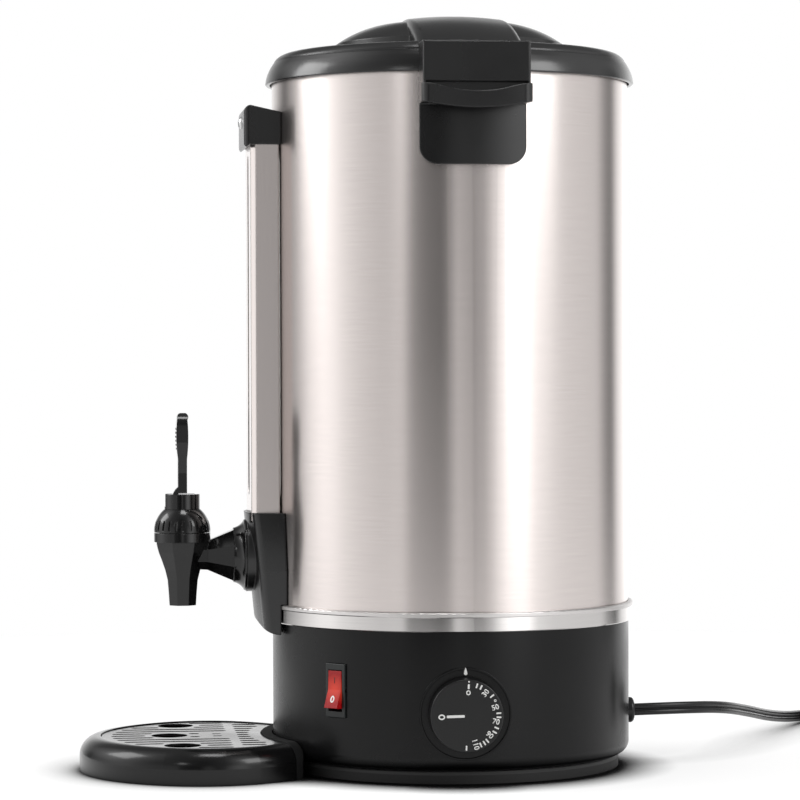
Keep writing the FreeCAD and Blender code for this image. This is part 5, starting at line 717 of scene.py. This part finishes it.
# Switch. A black bezel holds a rocker of clear red plastic with a small lamp inside, which glows
# strongest at its middle. The stroke for on is dark, and the ring for off is white.
SWITCH_BLACK = (0.014, 0.016, 0.016)
RED_DARK, RED_LIGHT = (0.24, 0.003, 0.005), (0.34, 0.008, 0.009)
GLOW_EDGE, GLOW_MIDDLE = (0.06, 0.0, 0.0), (0.42, 0.045, 0.02)
MOTTLE_SCALE = 420.0
LAMP_REACH = 0.0095
LAMP_CORE = LAMP_REACH * 0.15
SWITCH_TURN = math.radians(-45.2)
MARK_FROM_MIDDLE = 5.4 * MM
IN_FRONT = 50 * MM
ON_STROKE = (0.55 * MM, 3.4 * MM)
OFF_RING = (3.0 * MM, 4.2 * MM, 0.9 * MM)
DARK_INK = (0.03, 0.006, 0.006)

switch_black = moulded("switch_black", SWITCH_BLACK, rough=0.3, grain=0.0008, depth=0.00001, edge=0.0003)
dress(switch_black, "switch_case")
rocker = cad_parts["rocker"]
rocker_low, rocker_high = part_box("rocker")
lamp_place = (rocker_low + rocker_high) / 2
rocker_red, tree, shader, where = new_finish("rocker_red")
shader.inputs["Roughness"].default_value = 0.2
shader.inputs["Specular IOR Level"].default_value = 0.25
shader.inputs["Coat Weight"].default_value = 0.08
shader.inputs["Coat Roughness"].default_value = 0.1
mottle = noise(tree, where, MOTTLE_SCALE)
tree.links.new(tinted(tree, mottle, RED_DARK, RED_LIGHT), shader.inputs["Base Color"])
off_lamp = tree.nodes.new("ShaderNodeVectorMath")
off_lamp.operation = "DISTANCE"
off_lamp.inputs[1].default_value = lamp_place
tree.links.new(where, off_lamp.inputs[0])
near_lamp = between(tree, off_lamp.outputs["Value"], 1, 0, LAMP_CORE, LAMP_REACH)
tree.links.new(tinted(tree, near_lamp, GLOW_EDGE, GLOW_MIDDLE), shader.inputs["Emission Color"])
shader.inputs["Emission Strength"].default_value = 1.0
bumped(tree, shader, mottle, strength=0.2, distance=0.00002, edge=0.0004)
dress(rocker_red, "rocker")

switch_out = Vector((math.cos(SWITCH_TURN), math.sin(SWITCH_TURN), 0))
switch_right = Vector((-math.sin(SWITCH_TURN), math.cos(SWITCH_TURN), 0))


def on_rocker(height):
    """The place of a drawing on the rocker's face at a height above its middle."""
    start = lamp_place + switch_out * IN_FRONT
    start.z += height
    spot, normal = rocker.ray_cast(start, -switch_out)[1:3]
    return facing(spot - normal * INK_SUNK, switch_right, normal.cross(switch_right), normal)


on_mark = finish_mark([flat_bar(0, 0, *ON_STROKE)], "switch_on_mark", on_rocker(MARK_FROM_MIDDLE), INK)
on_mark.data.materials.append(printed("dark_ink", DARK_INK))
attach(on_mark, "switch_rocker")
off_mark = finish_mark([flat_ring(0, 0, *OFF_RING)], "switch_off_mark", on_rocker(-MARK_FROM_MIDDLE), INK)
off_mark.data.materials.append(white_ink)
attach(off_mark, "switch_rocker")

# Handles, the gauge's bracket and the tap's housing. They are satin black mouldings with soft edges.
# Screws hold the handles and the bracket, and the housing is a boot round the gauge's foot.
handle_black = moulded("handle_black", MOULDED_BLACK, rough=0.27, grain=0.0006, depth=0.00001, shine=0.55,
                       edge=0.0013)
dress(handle_black, "side_handle_right", "side_handle_left", "gauge_bracket", "tap_housing")

# Sight gauge. A tube of clear glass stands behind the slot of a folded steel column. The column is
# brushed lengthwise, with rounded folds.
GLASS_SCALE = 40.0
GLASS_DARK, GLASS_LIGHT = (0.93, 0.96, 0.95), (0.98, 1.0, 0.99)
column_steel = brushed("column_steel", STEEL_COLOUR, rough=0.2, lines=(1800, 1800, 30), along=UPRIGHT,
                       smear=0.3, edge=0.0016)
dress(column_steel, "gauge_column")
glass, tree, shader, where = new_finish("sight_glass")
shader.inputs["Roughness"].default_value = 0.03
shader.inputs["Transmission Weight"].default_value = 1.0
shader.inputs["IOR"].default_value = 1.47
clearness = noise(tree, where, GLASS_SCALE)
tree.links.new(tinted(tree, clearness, GLASS_DARK, GLASS_LIGHT), shader.inputs["Base Color"])
dress(glass, "gauge_glass")

# Lid. A stepped dome with a ridge from handle to handle, moulded in the same black as the handles
# and a little glossier.
lid_black = moulded("lid_black", MOULDED_BLACK, rough=0.22, grain=0.0006, depth=0.000008, shine=0.55,
                    edge=0.001)
dress(lid_black, "lid")

# Tap. Its body, bonnet, collar and lever are moulded in black plastic and are the glossiest of all.
# The lever turns on a pin of plated steel.
tap_black = moulded("tap_black", MOULDED_BLACK, rough=0.13, grain=0.0012, depth=0.000004, shine=0.45,
                    edge=0.0005)
dress(tap_black, "tap_body", "tap_bonnet", "tap_collar", "tap_lever")

# Drip tray and grille. Both are moulded in glossy black plastic, and the grille lies in the tray.
# The tray's inner wall along the base is left as it comes from the tool, rough and dull.
ARC_WALL = 0.1152
ARC_EDGE = 0.001
ARC_ROUGH = 0.9
GRILLE_BLACK = (0.008, 0.008, 0.0082)


def arc_roughness(tree, place):
    """The wall's own as far from the urn's axis as the wall goes, and none beyond."""
    off_axis = maths(tree, "SQRT", maths(tree, "ADD", maths(tree, "POWER", place["X"], 2),
                                         maths(tree, "POWER", place["Y"], 2)))
    return between(tree, off_axis, ARC_ROUGH, 0, ARC_WALL, ARC_WALL + ARC_EDGE)


tray_black = moulded("tray_black", MOULDED_BLACK, rough=0.18, grain=0.0012, depth=0.000005, edge=0.0006)
dulled(tray_black, arc_roughness)
dress(tray_black, "drip_tray")
grille_black = moulded("grille_black", GRILLE_BLACK, rough=0.2, grain=0.0012, depth=0.000005, shine=0.6,
                       edge=0.0004)
dress(grille_black, "tray_grille")

# Brewing set. The percolator's tube, foot, basket and cover stand in the vessel and lift out of
# it. They are plain stainless steel, and so is the liner inside the lid.
INNER_STEEL = (0.42, 0.405, 0.39)
inner_steel = brushed("inner_steel", INNER_STEEL, rough=0.36, lines=(300, 300, 1500))
dress(inner_steel, "pump_tube", "pump_foot", "filter_basket", "basket_cover", "lid_liner")

# Fasteners, shafts and the heater. Studs, nuts, screws, pins, the gauge's tee, the tap's stem and
# spring, the thermostat and the heater's sheath are plated or drawn metal. The terminal block and
# cut-out are brown resin, the heat plate is aluminium, and the thermostat's bulb is copper.
PLATED_GREY = (0.6, 0.6, 0.6)
RESIN_BROWN = (0.06, 0.045, 0.04)
ALUMINIUM_GREY = (0.75, 0.75, 0.76)
COPPER_RED = (0.72, 0.42, 0.26)
plated_steel = brushed("plated_steel", PLATED_GREY, rough=0.25, lines=(900, 900, 900))
dress(plated_steel, "base_studs", "stud_nuts", "handle_screws", "lid_screws", "gauge_screw", "gauge_nut",
      "tap_nut", "gauge_tee", "thermostat", "thermostat_nut", "knob_shaft", "lever_pin", "tap_stem",
      "tap_spring", "heating_element")
brown_resin = moulded("brown_resin", RESIN_BROWN, rough=0.45, grain=0.0007, depth=0.00002)
dress(brown_resin, "terminal_block", "thermal_cutout")
dress(brushed("plate_aluminium", ALUMINIUM_GREY, rough=0.4, lines=(500, 20, 500)), "heat_plate")
dress(brushed("bulb_copper", COPPER_RED, rough=0.3, lines=(200, 900, 200)), "thermostat_bulb")
